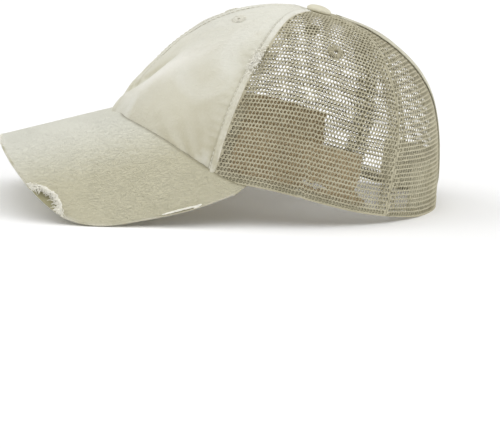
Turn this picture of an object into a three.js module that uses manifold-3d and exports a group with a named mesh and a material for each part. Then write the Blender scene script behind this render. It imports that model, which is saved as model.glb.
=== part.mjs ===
// Ponytail baseball cap: a soft crown with washed twill front panels and net side and back panels,
// a curved brim whose cloth cover is torn open over its board, a slit down the back with a bound edge on
// each side and a closure strip across its foot, a sweatband, sewn eyelets and a covered top button.
//
// Lengths are millimetres and angles are degrees. The cap is modelled in the frame of its rim: the head
// opening lies in the plane z = 0, the front is towards -Y and the wearer's left is +X. Angles go round the
// crown from the centre front through the left side to the centre back. At the end the whole cap is tipped
// back until it stands on the two low edges of its brim and on its back hem, as it does on a table.

import * as THREE from "three";
import { mergeVertices } from "three/addons/utils/BufferGeometryUtils.js";
import Module from "manifold-3d";

const wasm = await Module();
wasm.setup();

// Crown
const crownFront = 108; // rim, from below the button to the front
const crownBack = 95.5; // rim, from below the button to the back
const crownWidth = 150; // rim, side to side
const crownHeight = 103; // rim plane to the top of the cloth
const topTilt = 4; // how far the top of the crown slopes down to the back
const panelWall = 1.2;
const seamGap = 0.3; // clearance between neighbouring panels
const frontSeamAngle = 62; // where a front panel meets a side panel
const backSeamAngle = 125.5; // where a side panel meets a back panel
const seamLap = 5; // width of the allowance that is turned and stitched down beside a seam
const lapRise = 0.5; // how far a stitched lap stands proud
const lapStep = 0.8; // run of the slope at a lap's edge
const hemHeight = 6; // turned hem of the net panels
const rimLap = 5; // how far the front rim reaches down behind the brim
const topHole = 3; // radius left open under the button
const frontSink = 4; // run of the curve that joins the brow to the straight side rim
const sideLift = 4.2; // how far the rim is arched up over the ears
const sideMiddle = -22; // where that arch is highest, measured back from below the button
const sideReach = 72; // half the length of that arch
const heelStart = 72; // the back hem lies flat from here backwards
const heelRun = 14; // run over which the hem eases down to the flat

// Each upright section of the crown leaves the rim at a lean, and comes level at the top.
// lean: run outwards for each unit climbed. upright and shoulder: lengths of the two tangents, as shares of
// the crown's height and of the rim's reach.
const crownSections = [
  { angle: 0, lean: -0.26, upright: 0.37, shoulder: 0.65 },
  { angle: 30, lean: -0.18, upright: 0.42, shoulder: 0.64 },
  { angle: 60, lean: -0.05, upright: 0.52, shoulder: 0.62 },
  { angle: 95, lean: 0, upright: 0.66, shoulder: 0.6 },
  { angle: 130, lean: -0.05, upright: 0.74, shoulder: 0.6 },
  { angle: 180, lean: -0.12, upright: 0.8, shoulder: 0.64 },
];

// Soft folds pressed into the crown. climb and reach are shares of the way from rim to top, spread is the
// half width in degrees, slant is the turn in degrees over the whole climb, and depth is inwards.
const crownFolds = [
  { angle: 9, climb: 0.22, spread: 7, reach: 0.2, slant: 30, depth: 3 },
  { angle: -14, climb: 0.2, spread: 8, reach: 0.18, slant: -24, depth: 2.2 },
];

// Ponytail slit, measured up the centre back
const slitHead = 143;
const tailWidth = 21; // clear width where the ponytail comes out
const tailClimb = 92;
const tailReach = 34; // half the length over which the slit gapes
const tapeWall = 0.8;
const tapeWidth = 6;
const tapeGap = 0.3;

// Closure strip
const stripTop = 29;
const stripFoot = 3;
const stripWall = 1.2;
const stripAngle = 143;

// Sweatband
const bandHeight = 35;
const bandWall = 1.2;
const bandGap = 0.4;
const bandAngle = 117;
const bandFoot = 1;

// Brim
const brimRise = 20; // height of the brim's root over the rim plane at the centre front
const brimPitch = 25; // fall of the brim's centre line below the rim plane
const archSquare = 0.65; // 0 for a parabolic arch across the brim, towards 1 for steeper sides
const brimLength = 70;
const brimThickness = 4;
const edgeRound = 0.8; // how far the rounded edge stands out from the brim's faces
const coverWall = 1;
const boardGap = 0.3;
const hornAngle = 73; // where the brim's ends meet the rim
const crownGap = 0.3; // clearance between brim and crown
const brimRoot = 8; // length trimmed off inside the crown
const brimTrim = 31; // how far below and above the rim the trimming reaches

// The brim's edge, from the tip to the horn. turn: share of the way round. across: share of the distance
// between the middle and the horn. ahead: share of the brim's length, from its root at the centre front.
const brimEdge = [
  { turn: 0, across: 0, ahead: 1 },
  { turn: 0.14, across: 0.27, ahead: 0.985 },
  { turn: 0.28, across: 0.54, ahead: 0.945 },
  { turn: 0.42, across: 0.76, ahead: 0.86 },
  { turn: 0.54, across: 0.89, ahead: 0.745 },
  { turn: 0.64, across: 0.965, ahead: 0.6 },
  { turn: 0.74, across: 1.015, ahead: 0.36 },
  { turn: 0.84, across: 1.03, ahead: 0.02 },
  { turn: 0.93, across: 1.035, ahead: -0.4 },
  { turn: 1, across: 1.02, ahead: -0.76 },
];

// Tear in the left front corner of the brim's cover
const tearStart = 0.4; // as a share of the way round to the horn
const tearEnd = 0.63;
const tearDepth = 8;
const tearLip = 0.5; // depth of the tear at its two ends

// Top button
const buttonRadius = 7.8;
const buttonHeight = 4;
const buttonSeat = 0.35;
const shankRadius = 2;
const shankLength = 2.4;
const buttonRim = 1; // height of the button's widest line over its seat
const buttonTuck = 0.6; // how far its cloth is tucked in under that line

// Sewn eyelets
const eyeletHole = 1.3;
const eyeletRim = 4.6;
const eyeletNeck = 2.6;
const eyeletFlange = 0.7;
const eyeletBevel = 0.4;
const eyeletClearance = 0.35;
const eyeletPlaces = [
  { name: "eyelet_front_left", angle: 27, climb: 0.64 },
  { name: "eyelet_front_right", angle: -27, climb: 0.64 },
  { name: "eyelet_side_left", angle: 97, climb: 0.65 },
  { name: "eyelet_side_right", angle: -97, climb: 0.65 },
];

// Mesh fineness
const panelColumns = 8;
const panelRows = 11;
const brimColumns = 28;
const brimRows = 5;
const roundSegments = 16;

const radians = THREE.MathUtils.degToRad;
const lerp = THREE.MathUtils.lerp;

/** Spaces count + 1 numbers evenly from first to last. */
function spaced(first, last, count) {
  return Array.from({ length: count + 1 }, (_, i) => lerp(first, last, i / count));
}

/** Reads a column of a table at a value of its key, along a smooth curve that is level at both ends. */
function readTable(table, key, column, at) {
  const last = table.length - 1;
  const row = (i) => table[Math.min(Math.max(i, 0), last)];
  let i = 0;
  while (i < last - 1 && at > table[i + 1][key]) i++;
  const slope = (j) => {
    if (j <= 0 || j >= last) return 0;
    return (row(j + 1)[column] - row(j - 1)[column]) / (row(j + 1)[key] - row(j - 1)[key]);
  };
  const run = table[i + 1][key] - table[i][key];
  const t = THREE.MathUtils.clamp((at - table[i][key]) / run, 0, 1);
  return (
    (2 * t ** 3 - 3 * t ** 2 + 1) * row(i)[column] +
    (t ** 3 - 2 * t ** 2 + t) * run * slope(i) +
    (3 * t ** 2 - 2 * t ** 3) * row(i + 1)[column] +
    (t ** 3 - t ** 2) * run * slope(i + 1)
  );
}

/** Zero up to the start, then a smooth bend into a straight line of slope one. */
function easedRamp(value, run) {
  if (value <= 0) return 0;
  return value < run ? (value * value) / (2 * run) : value - run / 2;
}

/** A triangle mesh as a manifold-3d solid, with shared corners merged and collapsed triangles left out. */
function toSolid(positions, triangles) {
  const geometry = new THREE.BufferGeometry();
  geometry.setAttribute("position", new THREE.Float32BufferAttribute(positions, 3));
  geometry.setIndex(triangles);
  const merged = mergeVertices(geometry, 1e-4);
  const corners = Array.from(merged.index.array);
  const kept = [];
  for (let i = 0; i < corners.length; i += 3) {
    const [a, b, c] = corners.slice(i, i + 3);
    if (a !== b && b !== c && c !== a) kept.push(a, b, c);
  }
  return new wasm.Manifold(
    new wasm.Mesh({
      numProp: 3,
      vertProperties: merged.getAttribute("position").array,
      triVerts: new Uint32Array(kept),
    }),
  );
}

/** A three.js geometry, such as a lathe, as a manifold-3d solid. */
function geometrySolid(geometry) {
  const indices = geometry.index ?? { array: Array.from(geometry.getAttribute("position").array.keys()) };
  return toSolid(Array.from(geometry.getAttribute("position").array), Array.from(indices.array));
}

/** A manifold-3d solid as a flat-shaded three.js geometry. */
function toGeometry(solid) {
  const mesh = solid.getMesh();
  const geometry = new THREE.BufferGeometry();
  geometry.setAttribute("position", new THREE.BufferAttribute(mesh.vertProperties, 3));
  geometry.setIndex(new THREE.BufferAttribute(mesh.triVerts, 1));
  const flat = geometry.toNonIndexed();
  flat.computeVertexNormals();
  return flat;
}

/**
 * A closed wall between two grids of points of the same size. Rows climb and columns go round to the left,
 * seen from the face that outer makes.
 */
function wallSolid(outer, inner) {
  const rows = outer.length;
  const columns = outer[0].length;
  const positions = [...outer.flat(), ...inner.flat()].flatMap((point) => point.toArray());
  const out = (row, column) => row * columns + column;
  const back = (row, column) => (rows + row) * columns + column;
  const triangles = [];
  const quad = (a, b, c, d) => triangles.push(a, b, c, a, c, d);
  for (let r = 0; r < rows - 1; r++) {
    for (let c = 0; c < columns - 1; c++) {
      quad(out(r, c), out(r, c + 1), out(r + 1, c + 1), out(r + 1, c));
      quad(back(r, c), back(r + 1, c), back(r + 1, c + 1), back(r, c + 1));
    }
    quad(out(r, 0), out(r + 1, 0), back(r + 1, 0), back(r, 0));
    quad(out(r, columns - 1), back(r, columns - 1), back(r + 1, columns - 1), out(r + 1, columns - 1));
  }
  for (let c = 0; c < columns - 1; c++) {
    quad(out(0, c), back(0, c), back(0, c + 1), out(0, c + 1));
    quad(out(rows - 1, c), out(rows - 1, c + 1), back(rows - 1, c + 1), back(rows - 1, c));
  }
  return toSolid(positions, triangles);
}

/** The place of the rim at an angle, seen from above. */
function rimPlan(angle) {
  const ahead = Math.cos(radians(angle));
  const reach = ahead > 0 ? crownFront : crownBack;
  return new THREE.Vector2((crownWidth / 2) * Math.sin(radians(angle)), -reach * ahead);
}

const hornPlan = rimPlan(hornAngle);

/** How far the arch falls below the brim's centre line where its ends meet the rim. */
const archDrop =
  (brimRise - sideLift) * Math.cos(radians(brimPitch)) +
  (crownFront + hornPlan.y) * Math.sin(radians(brimPitch));

/** Fall of the arch below the brim's centre line at a distance from the middle, and its slope there. */
function arch(across) {
  const share = across / hornPlan.x;
  return {
    drop: archDrop * lerp(share ** 2, share ** 4, archSquare),
    slope: (archDrop / hornPlan.x) * lerp(2 * share, 4 * share ** 3, archSquare),
  };
}

/** A point of the brim: across and ahead start from the middle of its root, and depth is downwards. */
function brimPoint(across, ahead, depth) {
  const pitch = radians(brimPitch);
  const { drop, slope } = arch(across);
  const square = Math.hypot(slope, 1);
  const fall = drop + depth / square;
  return new THREE.Vector3(
    across - (depth * slope) / square,
    -crownFront - ahead * Math.cos(pitch) + fall * Math.sin(pitch),
    brimRise - ahead * Math.sin(pitch) - fall * Math.cos(pitch),
  );
}

/** The place on the brim's top face that is seen from above at a point of the plan. */
function brimPlace(plan) {
  const pitch = radians(brimPitch);
  const ahead = (-crownFront - plan.y + arch(plan.x).drop * Math.sin(pitch)) / Math.cos(pitch);
  return { across: plan.x, ahead };
}

/** The place of the brim's root under the crown at an angle. */
const brimRootPlace = (angle) => brimPlace(rimPlan(angle));

const brimAngles = spaced(-hornAngle, hornAngle, brimColumns);

/** The place of the brim's edge that goes with the root at an angle. */
function brimEdgePlace(angle) {
  const turn = Math.abs(angle) / hornAngle;
  return {
    across: Math.sign(angle) * hornPlan.x * readTable(brimEdge, "turn", "across", turn),
    ahead: brimLength * readTable(brimEdge, "turn", "ahead", turn),
  };
}

/** The place at a share of the way from inside the crown to the brim's edge, drawn in from that edge. */
function brimShare(angle, share, drawnIn) {
  const root = brimRootPlace(angle);
  const edge = brimEdgePlace(angle);
  const span = Math.hypot(edge.across - root.across, edge.ahead - root.ahead);
  const along = lerp(-brimRoot, span - drawnIn, share) / span;
  return [lerp(root.across, edge.across, along), lerp(root.ahead, edge.ahead, along)];
}

/** How far the cap tips back on a table: its brim's edge comes as low as the hem where the heel starts. */
const restTilt = Math.atan(
  Math.max(
    ...brimAngles
      .flatMap((angle) => [
        brimPoint(...brimShare(angle, 1, 0), brimThickness / 2),
        brimPoint(...brimShare(angle, 1, edgeRound), brimThickness),
      ])
      .map((low) => -low.z / (heelStart + heelRun / 2 - low.y)),
  ),
);

/**
 * Height of the crown's lower edge over the rim plane: arched up over the ears, raised behind the brim, and
 * pressed flat at the back.
 */
function rimHeight(plan) {
  const aside = THREE.MathUtils.clamp((plan.y - sideMiddle) / sideReach, -1, 1);
  const lift = sideLift * Math.cos((aside * Math.PI) / 2) ** 2;
  const place = brimPlace(plan);
  const behindBrim = brimPoint(place.across, place.ahead, 0).z - rimLap;
  const brow = plan.y < 0 ? easedRamp(behindBrim - lift, frontSink) : 0;
  return lift + brow + easedRamp(plan.y - heelStart, heelRun) * Math.tan(restTilt);
}

/** The angle folded to the table's range, from the centre front to the centre back. */
const sideAngle = (angle) => Math.abs(THREE.MathUtils.euclideanModulo(angle + 180, 360) - 180);

const sectionCurves = new Map();

/** The upright section of the crown's outer face at an angle, as a curve from rim to top. */
function crownSection(angle) {
  if (!sectionCurves.has(angle)) {
    const plan = rimPlan(angle);
    const rim = new THREE.Vector3(plan.x, plan.y, rimHeight(plan));
    const outwards = new THREE.Vector3(plan.x, plan.y, 0).normalize();
    const read = (column) => readTable(crownSections, "angle", column, sideAngle(angle));
    const top = new THREE.Vector3(0, 0, crownHeight);
    const rise = (crownHeight - rim.z) * read("upright");
    const wall = rim.clone().addScaledVector(outwards, read("lean") * rise);
    wall.z += rise;
    const reach = read("shoulder") * plan.length();
    const shoulder = top.clone().addScaledVector(outwards, reach);
    shoulder.z -= reach * outwards.y * Math.tan(radians(topTilt));
    const curve = new THREE.CubicBezierCurve3(rim, wall, shoulder, top);
    curve.arcLengthDivisions = 80;
    sectionCurves.set(angle, curve);
  }
  return sectionCurves.get(angle);
}

/** Length of the crown's section at an angle, from rim to top. */
const sectionLength = (angle) => crownSection(angle).getLength();

/** Depth of the soft folds at a place on the crown. */
function foldDepth(angle, share) {
  return crownFolds.reduce((sum, fold) => {
    const aside = (angle - fold.angle - fold.slant * (share - fold.climb)) / fold.spread;
    const along = (share - fold.climb) / fold.reach;
    return sum + fold.depth * Math.exp(-aside * aside - along * along);
  }, 0);
}

/**
 * A point of the crown: climb is measured up the outer face from the rim, and inset is inwards through the
 * cloth. A negative climb carries on below the rim.
 */
function crownPoint(angle, climb, inset = 0) {
  const place = (at) => {
    const curve = crownSection(at);
    const share = climb / sectionLength(angle);
    return share < 0 ? curve.getPoint(share) : curve.getPointAt(Math.min(share, 1));
  };
  const step = 1;
  const point = place(angle);
  const round = place(angle + step).sub(place(angle - step));
  const share = Math.min(Math.max(climb / sectionLength(angle), 0), 1);
  const up = crownSection(angle).getTangentAt(share);
  const outwards = round.cross(up);
  const free = THREE.MathUtils.smoothstep(climb, 0, hemHeight);
  outwards.z *= free;
  const moved = point.clone().addScaledVector(outwards.normalize(), -inset - foldDepth(angle, share));
  moved.z += (1 - free) * (rimHeight(moved) - rimHeight(point)); // the hem's lower face follows the rim
  return moved;
}

/** Distance from the crown's upright axis at a climb. */
const crownReach = (angle, climb) => {
  const point = crownPoint(angle, climb);
  return Math.hypot(point.x, point.y);
};

/** Half the width of the ponytail slit between the panels at a climb up the centre back. */
function slitHalf(climb) {
  if (climb >= slitHead) return seamGap / 2;
  const gape = 1 - Math.min(Math.abs(climb - tailClimb) / tailReach, 1) ** 2;
  return lerp(tapeGap / 2, tailWidth / 2, gape) + tapeWall + tapeGap;
}

/** Half the gap of a plain seam. */
const seamHalf = () => seamGap / 2;

/** The climbs of a panel's rows at an angle: the hem's two edges, its step, and even steps to the top. */
function rowClimbs(angle) {
  const top = sectionLength(angle) - topHole;
  return [0, hemHeight, hemHeight + lapStep, ...spaced(hemHeight * 2, top, panelRows)];
}

/** Positions across a panel of a width: its two edges, the edges of both laps, and even steps between. */
function panelStations(width, firstHalf, lastHalf) {
  const lap = Math.min(seamLap, width / 4);
  const step = Math.min(lapStep, width / 12);
  const middle = spaced(firstHalf + lap + step, width - lastHalf - lap - step, panelColumns);
  return [firstHalf, firstHalf + lap, ...middle, width - lastHalf - lap, width - lastHalf];
}

/**
 * A crown panel between two edges. An edge has the angle of its seam, half the gap there at a climb, and
 * whether its allowance is lapped.
 */
function panelSolid(first, last, hemmed) {
  const middle = (first.angle + last.angle) / 2;
  const outer = [];
  const inner = [];
  rowClimbs(middle).forEach((climb, row) => {
    const climbOf = (angle) => rowClimbs(angle)[row];
    const perUnit = THREE.MathUtils.radToDeg(1 / crownReach(middle, climb));
    const width = (last.angle - first.angle) / perUnit;
    const stations = panelStations(width, first.half(climbOf(first.angle)), last.half(climbOf(last.angle)));
    const angles = stations.map((station) => first.angle + station * perUnit);
    const inLap = (column) =>
      (first.lapped && column <= 1) ||
      (last.lapped && column >= angles.length - 2) ||
      (hemmed && row <= 1);
    const fade = THREE.MathUtils.smoothstep(sectionLength(middle) - climb, buttonRadius, buttonRadius * 2);
    outer.push(
      angles.map((angle, column) => crownPoint(angle, climbOf(angle), inLap(column) ? -lapRise * fade : 0)),
    );
    inner.push(angles.map((angle) => crownPoint(angle, climbOf(angle), panelWall)));
  });
  return wallSolid(outer, inner);
}

/** A band of even height that lines the crown between two angles. */
function bandSolid(fromAngle, toAngle, foot, top, inset, wall, columns) {
  const climbs = spaced(foot, top, 3);
  const angles = spaced(fromAngle, toAngle, columns);
  const grid = (depth) => climbs.map((climb) => angles.map((angle) => crownPoint(angle, climb, depth)));
  return wallSolid(grid(inset), grid(inset + wall));
}

/** The lower crown as a filled body whose outer face stands off by a clearance, for trimming the brim. */
function crownBody(clearance) {
  const climbs = [-brimTrim, -brimTrim / 2, ...spaced(0, 2 * brimTrim, 6)];
  const angles = spaced(-180, 180, 90);
  const skin = climbs.map((climb) => angles.map((angle) => crownPoint(angle, climb, -clearance)));
  const positions = skin.flat().flatMap((point) => point.toArray());
  const foot = positions.length / 3;
  const head = foot + 1;
  positions.push(0, 0, skin[0][0].z, 0, 0, crownHeight / 2);
  const last = climbs.length - 1;
  const at = (row, column) => row * angles.length + column;
  const triangles = [];
  for (let c = 0; c < angles.length - 1; c++) {
    for (let r = 0; r < last; r++) {
      triangles.push(at(r, c), at(r, c + 1), at(r + 1, c + 1));
      triangles.push(at(r, c), at(r + 1, c + 1), at(r + 1, c));
    }
    triangles.push(foot, at(0, c + 1), at(0, c));
    triangles.push(head, at(last, c), at(last, c + 1));
  }
  return toSolid(positions, triangles);
}

/** A sheet of the brim between two depths, whose edge is drawn in by an inset. */
function brimSheet(topDepth, bottomDepth, inset) {
  const ring = (share, drawnIn, depth) =>
    brimAngles.map((angle) => brimPoint(...brimShare(angle, share, drawnIn), depth));
  const edge = ring(1, inset, (topDepth + bottomDepth) / 2);
  const face = (depth) => [
    edge,
    ...spaced(1, 0, brimRows).map((share) => ring(share, inset + edgeRound, depth)),
  ];
  return wallSolid(face(topDepth), face(bottomDepth));
}

/** The bite out of the brim's top cover, as a cutter that reaches into the board's pocket. */
function tearCutter() {
  const beyond = 2;
  const face = (depth) =>
    [false, true].map((inside) =>
      spaced(0, 1, 8).map((share) => {
        const angle = hornAngle * lerp(tearStart, tearEnd, share);
        const bite = inside ? tearLip + tearDepth * Math.sin(Math.PI * share) ** 0.8 : -beyond;
        return brimPoint(...brimShare(angle, 1, bite), depth);
      }),
    );
  return wallSolid(face(-beyond), face(coverWall + boardGap / 2));
}

/** Places a small round piece on the crown, with its axis along the crown's outward direction. */
function seatOn(object, angle, climb) {
  const point = crownPoint(angle, climb);
  const below = crownPoint(angle, climb, 1);
  object.position.copy(point);
  object.quaternion.setFromUnitVectors(new THREE.Vector3(0, 0, 1), point.clone().sub(below).normalize());
  object.updateMatrix();
  return object;
}

/** A lathe profile turned about +Z. */
function turned(profile) {
  const points = profile.map(([radius, height]) => new THREE.Vector2(radius, height));
  return new THREE.LatheGeometry(points, roundSegments).rotateX(Math.PI / 2);
}

/** A covered button: a low dome on a shank that passes through the hole in the crown's top. */
function buttonGeometry() {
  const widest = buttonSeat + buttonRim;
  const dome = new THREE.EllipseCurve(0, widest, buttonRadius, buttonHeight - buttonRim, 0, Math.PI / 2)
    .getPoints(5)
    .map((point) => [point.x, point.y]);
  return turned([
    [0, -shankLength],
    [shankRadius, -shankLength],
    [shankRadius, buttonSeat],
    [buttonRadius - buttonTuck, buttonSeat],
    ...dome,
  ]);
}

/** A sewn eyelet: a ring of stitches through the cloth with a low flange on each face. */
function eyeletGeometry() {
  const face = eyeletClearance;
  const back = -panelWall - 2 * eyeletClearance;
  return turned([
    [eyeletHole, back - eyeletFlange],
    [eyeletRim - eyeletBevel, back - eyeletFlange],
    [eyeletRim, back],
    [eyeletNeck, back],
    [eyeletNeck, face],
    [eyeletRim, face],
    [eyeletRim - eyeletBevel, face + eyeletFlange],
    [eyeletHole, face + eyeletFlange],
    [eyeletHole, back - eyeletFlange],
  ]);
}

/** The hole that an eyelet is sewn through. */
function eyeletCutter(place) {
  const depth = 8;
  const cylinder = new THREE.CylinderGeometry(
    eyeletNeck + eyeletClearance,
    eyeletNeck + eyeletClearance,
    depth,
    roundSegments,
  ).rotateX(Math.PI / 2);
  const seat = seatOn(new THREE.Object3D(), place.angle, place.climb * sectionLength(place.angle));
  return geometrySolid(cylinder.applyMatrix4(seat.matrix));
}

/** The folded tape over one edge of the slit. side is 1 for the wearer's left and -1 for the right. */
function slitTape(side) {
  const climbs = rowClimbs(180).filter((climb) => climb > hemHeight && climb < slitHead);
  const outside = -tapeGap - tapeWall;
  const inside = panelWall + tapeGap + tapeWall;
  const section = [
    [0, outside],
    [tapeWidth, outside],
    [tapeWidth, -tapeGap],
    [tapeWall, -tapeGap],
    [tapeWall, panelWall + tapeGap],
    [tapeWidth, panelWall + tapeGap],
    [tapeWidth, inside],
    [0, inside],
  ];
  const rows = climbs.map((climb) => {
    const start = slitHalf(climb) - tapeWall - tapeGap;
    const perUnit = THREE.MathUtils.radToDeg(1 / crownReach(180, climb));
    return section.map(([aside, inset]) =>
      crownPoint(side * (180 - (start + aside) * perUnit), climb, inset),
    );
  });
  return sweptSolid(rows, side);
}

/** A closed body through rows of points that each go round one U-shaped section of eight corners. */
function sweptSolid(rows, side) {
  const count = rows[0].length;
  const positions = rows.flat().flatMap((point) => point.toArray());
  const at = (row, column) => row * count + (column % count);
  const triangles = [];
  const quad = (a, b, c, d) =>
    side > 0 ? triangles.push(a, c, b, a, d, c) : triangles.push(a, b, c, a, c, d);
  for (let r = 0; r < rows.length - 1; r++) {
    for (let c = 0; c < count; c++) quad(at(r, c), at(r, c + 1), at(r + 1, c + 1), at(r + 1, c));
  }
  const last = rows.length - 1;
  const halves = [
    [0, 1, 2, 3],
    [0, 3, 4, 7],
    [4, 5, 6, 7],
  ];
  halves.forEach(([a, b, c, d]) => {
    quad(at(0, a), at(0, d), at(0, c), at(0, b));
    quad(at(last, a), at(last, b), at(last, c), at(last, d));
  });
  return toSolid(positions, triangles);
}

const finishes = {
  twill: new THREE.MeshStandardMaterial({ color: 0xd6d2bf, roughness: 0.9, metalness: 0 }),
  net: new THREE.MeshStandardMaterial({ color: 0xb5aa8c, roughness: 0.8, metalness: 0 }),
  tape: new THREE.MeshStandardMaterial({ color: 0x8f8d74, roughness: 0.8, metalness: 0 }),
  lining: new THREE.MeshStandardMaterial({ color: 0xb8a888, roughness: 0.95, metalness: 0 }),
  board: new THREE.MeshStandardMaterial({ color: 0xada889, roughness: 0.7, metalness: 0 }),
};

const cap = new THREE.Group();

/** Adds a named piece to the cap. */
function addPiece(name, solid, finish) {
  const mesh = new THREE.Mesh(toGeometry(solid), finishes[finish]);
  mesh.name = name;
  cap.add(mesh);
  return mesh;
}

/** Cuts the eyelet holes that lie between two seams out of a panel. */
function withEyeletHoles(panel, fromAngle, toAngle) {
  return eyeletPlaces
    .filter((place) => place.angle > fromAngle && place.angle < toAngle)
    .reduce((solid, place) => solid.subtract(eyeletCutter(place)), panel);
}

const centreFront = { angle: 0, half: seamHalf, lapped: true };
const frontLeft = { angle: frontSeamAngle, half: seamHalf, lapped: true };
const frontRight = { angle: -frontSeamAngle, half: seamHalf, lapped: true };
const backLeft = { angle: backSeamAngle, half: seamHalf, lapped: true };
const backRight = { angle: -backSeamAngle, half: seamHalf, lapped: true };
const slitLeft = { angle: 180, half: slitHalf, lapped: false };
const slitRight = { angle: -180, half: slitHalf, lapped: false };

const panels = [
  { name: "front_panel_left", first: centreFront, last: frontLeft, finish: "twill" },
  { name: "front_panel_right", first: frontRight, last: centreFront, finish: "twill" },
  { name: "side_panel_left", first: frontLeft, last: backLeft, finish: "net" },
  { name: "side_panel_right", first: backRight, last: frontRight, finish: "net" },
  { name: "back_panel_left", first: backLeft, last: slitLeft, finish: "net" },
  { name: "back_panel_right", first: slitRight, last: backRight, finish: "net" },
];
panels.forEach(({ name, first, last, finish }) => {
  const panel = panelSolid(first, last, finish === "net");
  addPiece(name, withEyeletHoles(panel, first.angle, last.angle), finish);
});

addPiece(
  "sweatband",
  bandSolid(-bandAngle, bandAngle, bandFoot, bandHeight, panelWall + bandGap, bandWall, 40),
  "lining",
);
const stripInset = panelWall + 2 * tapeGap + tapeWall;
addPiece(
  "closure_strip",
  bandSolid(stripAngle, 360 - stripAngle, stripFoot, stripTop, stripInset, stripWall, 12),
  "lining",
);
addPiece("slit_tape_left", slitTape(1), "tape");
addPiece("slit_tape_right", slitTape(-1), "tape");

const trim = crownBody(crownGap + lapRise);
const pocket = brimSheet(coverWall, brimThickness - coverWall, coverWall);
addPiece(
  "brim_cover",
  brimSheet(0, brimThickness, 0).subtract(pocket).subtract(tearCutter()).subtract(trim),
  "twill",
);
const boardTop = coverWall + boardGap;
addPiece(
  "brim_board",
  brimSheet(boardTop, brimThickness - boardTop, boardTop).subtract(trim),
  "board",
);

const button = addPiece("top_button", geometrySolid(buttonGeometry()), "net");
button.position.set(0, 0, crownHeight);
button.rotation.x = -radians(topTilt);
eyeletPlaces.forEach((place) => {
  const finish = place.name.includes("front") ? "twill" : "net";
  const eyelet = addPiece(place.name, geometrySolid(eyeletGeometry()), finish);
  seatOn(eyelet, place.angle, place.climb * sectionLength(place.angle));
});

cap.rotation.x = -restTilt;
cap.updateMatrixWorld(true);
const part = new THREE.Group();
part.add(cap);
const bounds = new THREE.Box3().setFromObject(cap, true);
cap.position.set(0, -(bounds.min.y + bounds.max.y) / 2, -bounds.min.z);

export default part;
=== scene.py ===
"""Looks of the ponytail baseball cap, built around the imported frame.

Lengths are millimetres until a mesh is made, when they become Blender's metres. Angles are degrees. The
shape is worked out in the frame of the cap's rim, with its front towards -Y and the wearer's left towards
+X. Angles go round the crown from the centre front through the left side to the centre back. The finished
points are then tipped back on to the floor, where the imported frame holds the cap.
"""

import logging
import math
from dataclasses import dataclass, field
from enum import Enum
from typing import Any, Callable, Optional, Sequence, Union

import bpy
import numpy as np
from mathutils import Matrix, Vector


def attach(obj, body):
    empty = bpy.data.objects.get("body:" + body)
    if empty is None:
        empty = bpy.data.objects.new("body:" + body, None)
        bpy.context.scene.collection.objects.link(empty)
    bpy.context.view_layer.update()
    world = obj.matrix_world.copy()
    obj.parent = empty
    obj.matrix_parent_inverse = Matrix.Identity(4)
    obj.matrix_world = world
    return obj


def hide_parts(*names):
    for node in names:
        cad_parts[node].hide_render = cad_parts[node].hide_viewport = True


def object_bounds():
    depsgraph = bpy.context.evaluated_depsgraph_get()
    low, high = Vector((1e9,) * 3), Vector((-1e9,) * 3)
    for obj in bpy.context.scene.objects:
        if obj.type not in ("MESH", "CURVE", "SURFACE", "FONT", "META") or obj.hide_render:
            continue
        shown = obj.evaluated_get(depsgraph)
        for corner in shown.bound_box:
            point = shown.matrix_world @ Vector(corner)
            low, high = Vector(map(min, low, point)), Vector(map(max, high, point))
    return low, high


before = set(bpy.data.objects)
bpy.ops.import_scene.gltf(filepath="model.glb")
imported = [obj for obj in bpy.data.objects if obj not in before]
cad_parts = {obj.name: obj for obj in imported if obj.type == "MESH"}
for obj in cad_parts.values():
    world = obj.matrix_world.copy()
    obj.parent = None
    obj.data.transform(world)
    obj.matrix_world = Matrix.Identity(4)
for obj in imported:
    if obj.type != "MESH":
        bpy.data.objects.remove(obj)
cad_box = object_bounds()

logging.basicConfig(level=logging.INFO, format="%(message)s")
log = logging.getLogger("cap")

MM = 0.001
SHARP_ANGLE = 60.0
SIDES = ((1, "left"), (-1, "right"))
Array = np.ndarray
Number = Union[float, Array]


# Plain maths

def lerp(start: Number, end: Number, share: Number) -> Number:
    """The value at a share of the way from start to end."""
    return start + (end - start) * share


def ease(value: Number, low: float, high: float) -> Array:
    """Zero below low, one above high and a smooth step between."""
    t = np.clip((np.asarray(value, float) - low) / (high - low), 0, 1)
    return t * t * (3 - 2 * t)


def hill(distance: Number, width: float) -> Array:
    """One at no distance, falling away like a bell over the width."""
    return np.exp(-np.square(np.asarray(distance, float) / width))


def eased_ramp(value: Number, run: float) -> Array:
    """Zero up to the start, then a smooth bend into a straight line of slope one."""
    value = np.maximum(value, 0)
    return np.where(value < run, value * value / (2 * run), value - run / 2)


def stacked(*parts: Number) -> Array:
    """Coordinates, spread to a common shape and put side by side along a last axis."""
    return np.stack(np.broadcast_arrays(*parts), axis=-1)


def boxy(wave: Array, power: float) -> Array:
    """A sine or cosine that is bent towards a square wave."""
    return np.sign(wave) * np.abs(wave) ** power


def unit(vectors: Array) -> Array:
    """Vectors along the last axis, made one long."""
    return vectors / np.maximum(np.linalg.norm(vectors, axis=-1, keepdims=True), 1e-9)


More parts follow.
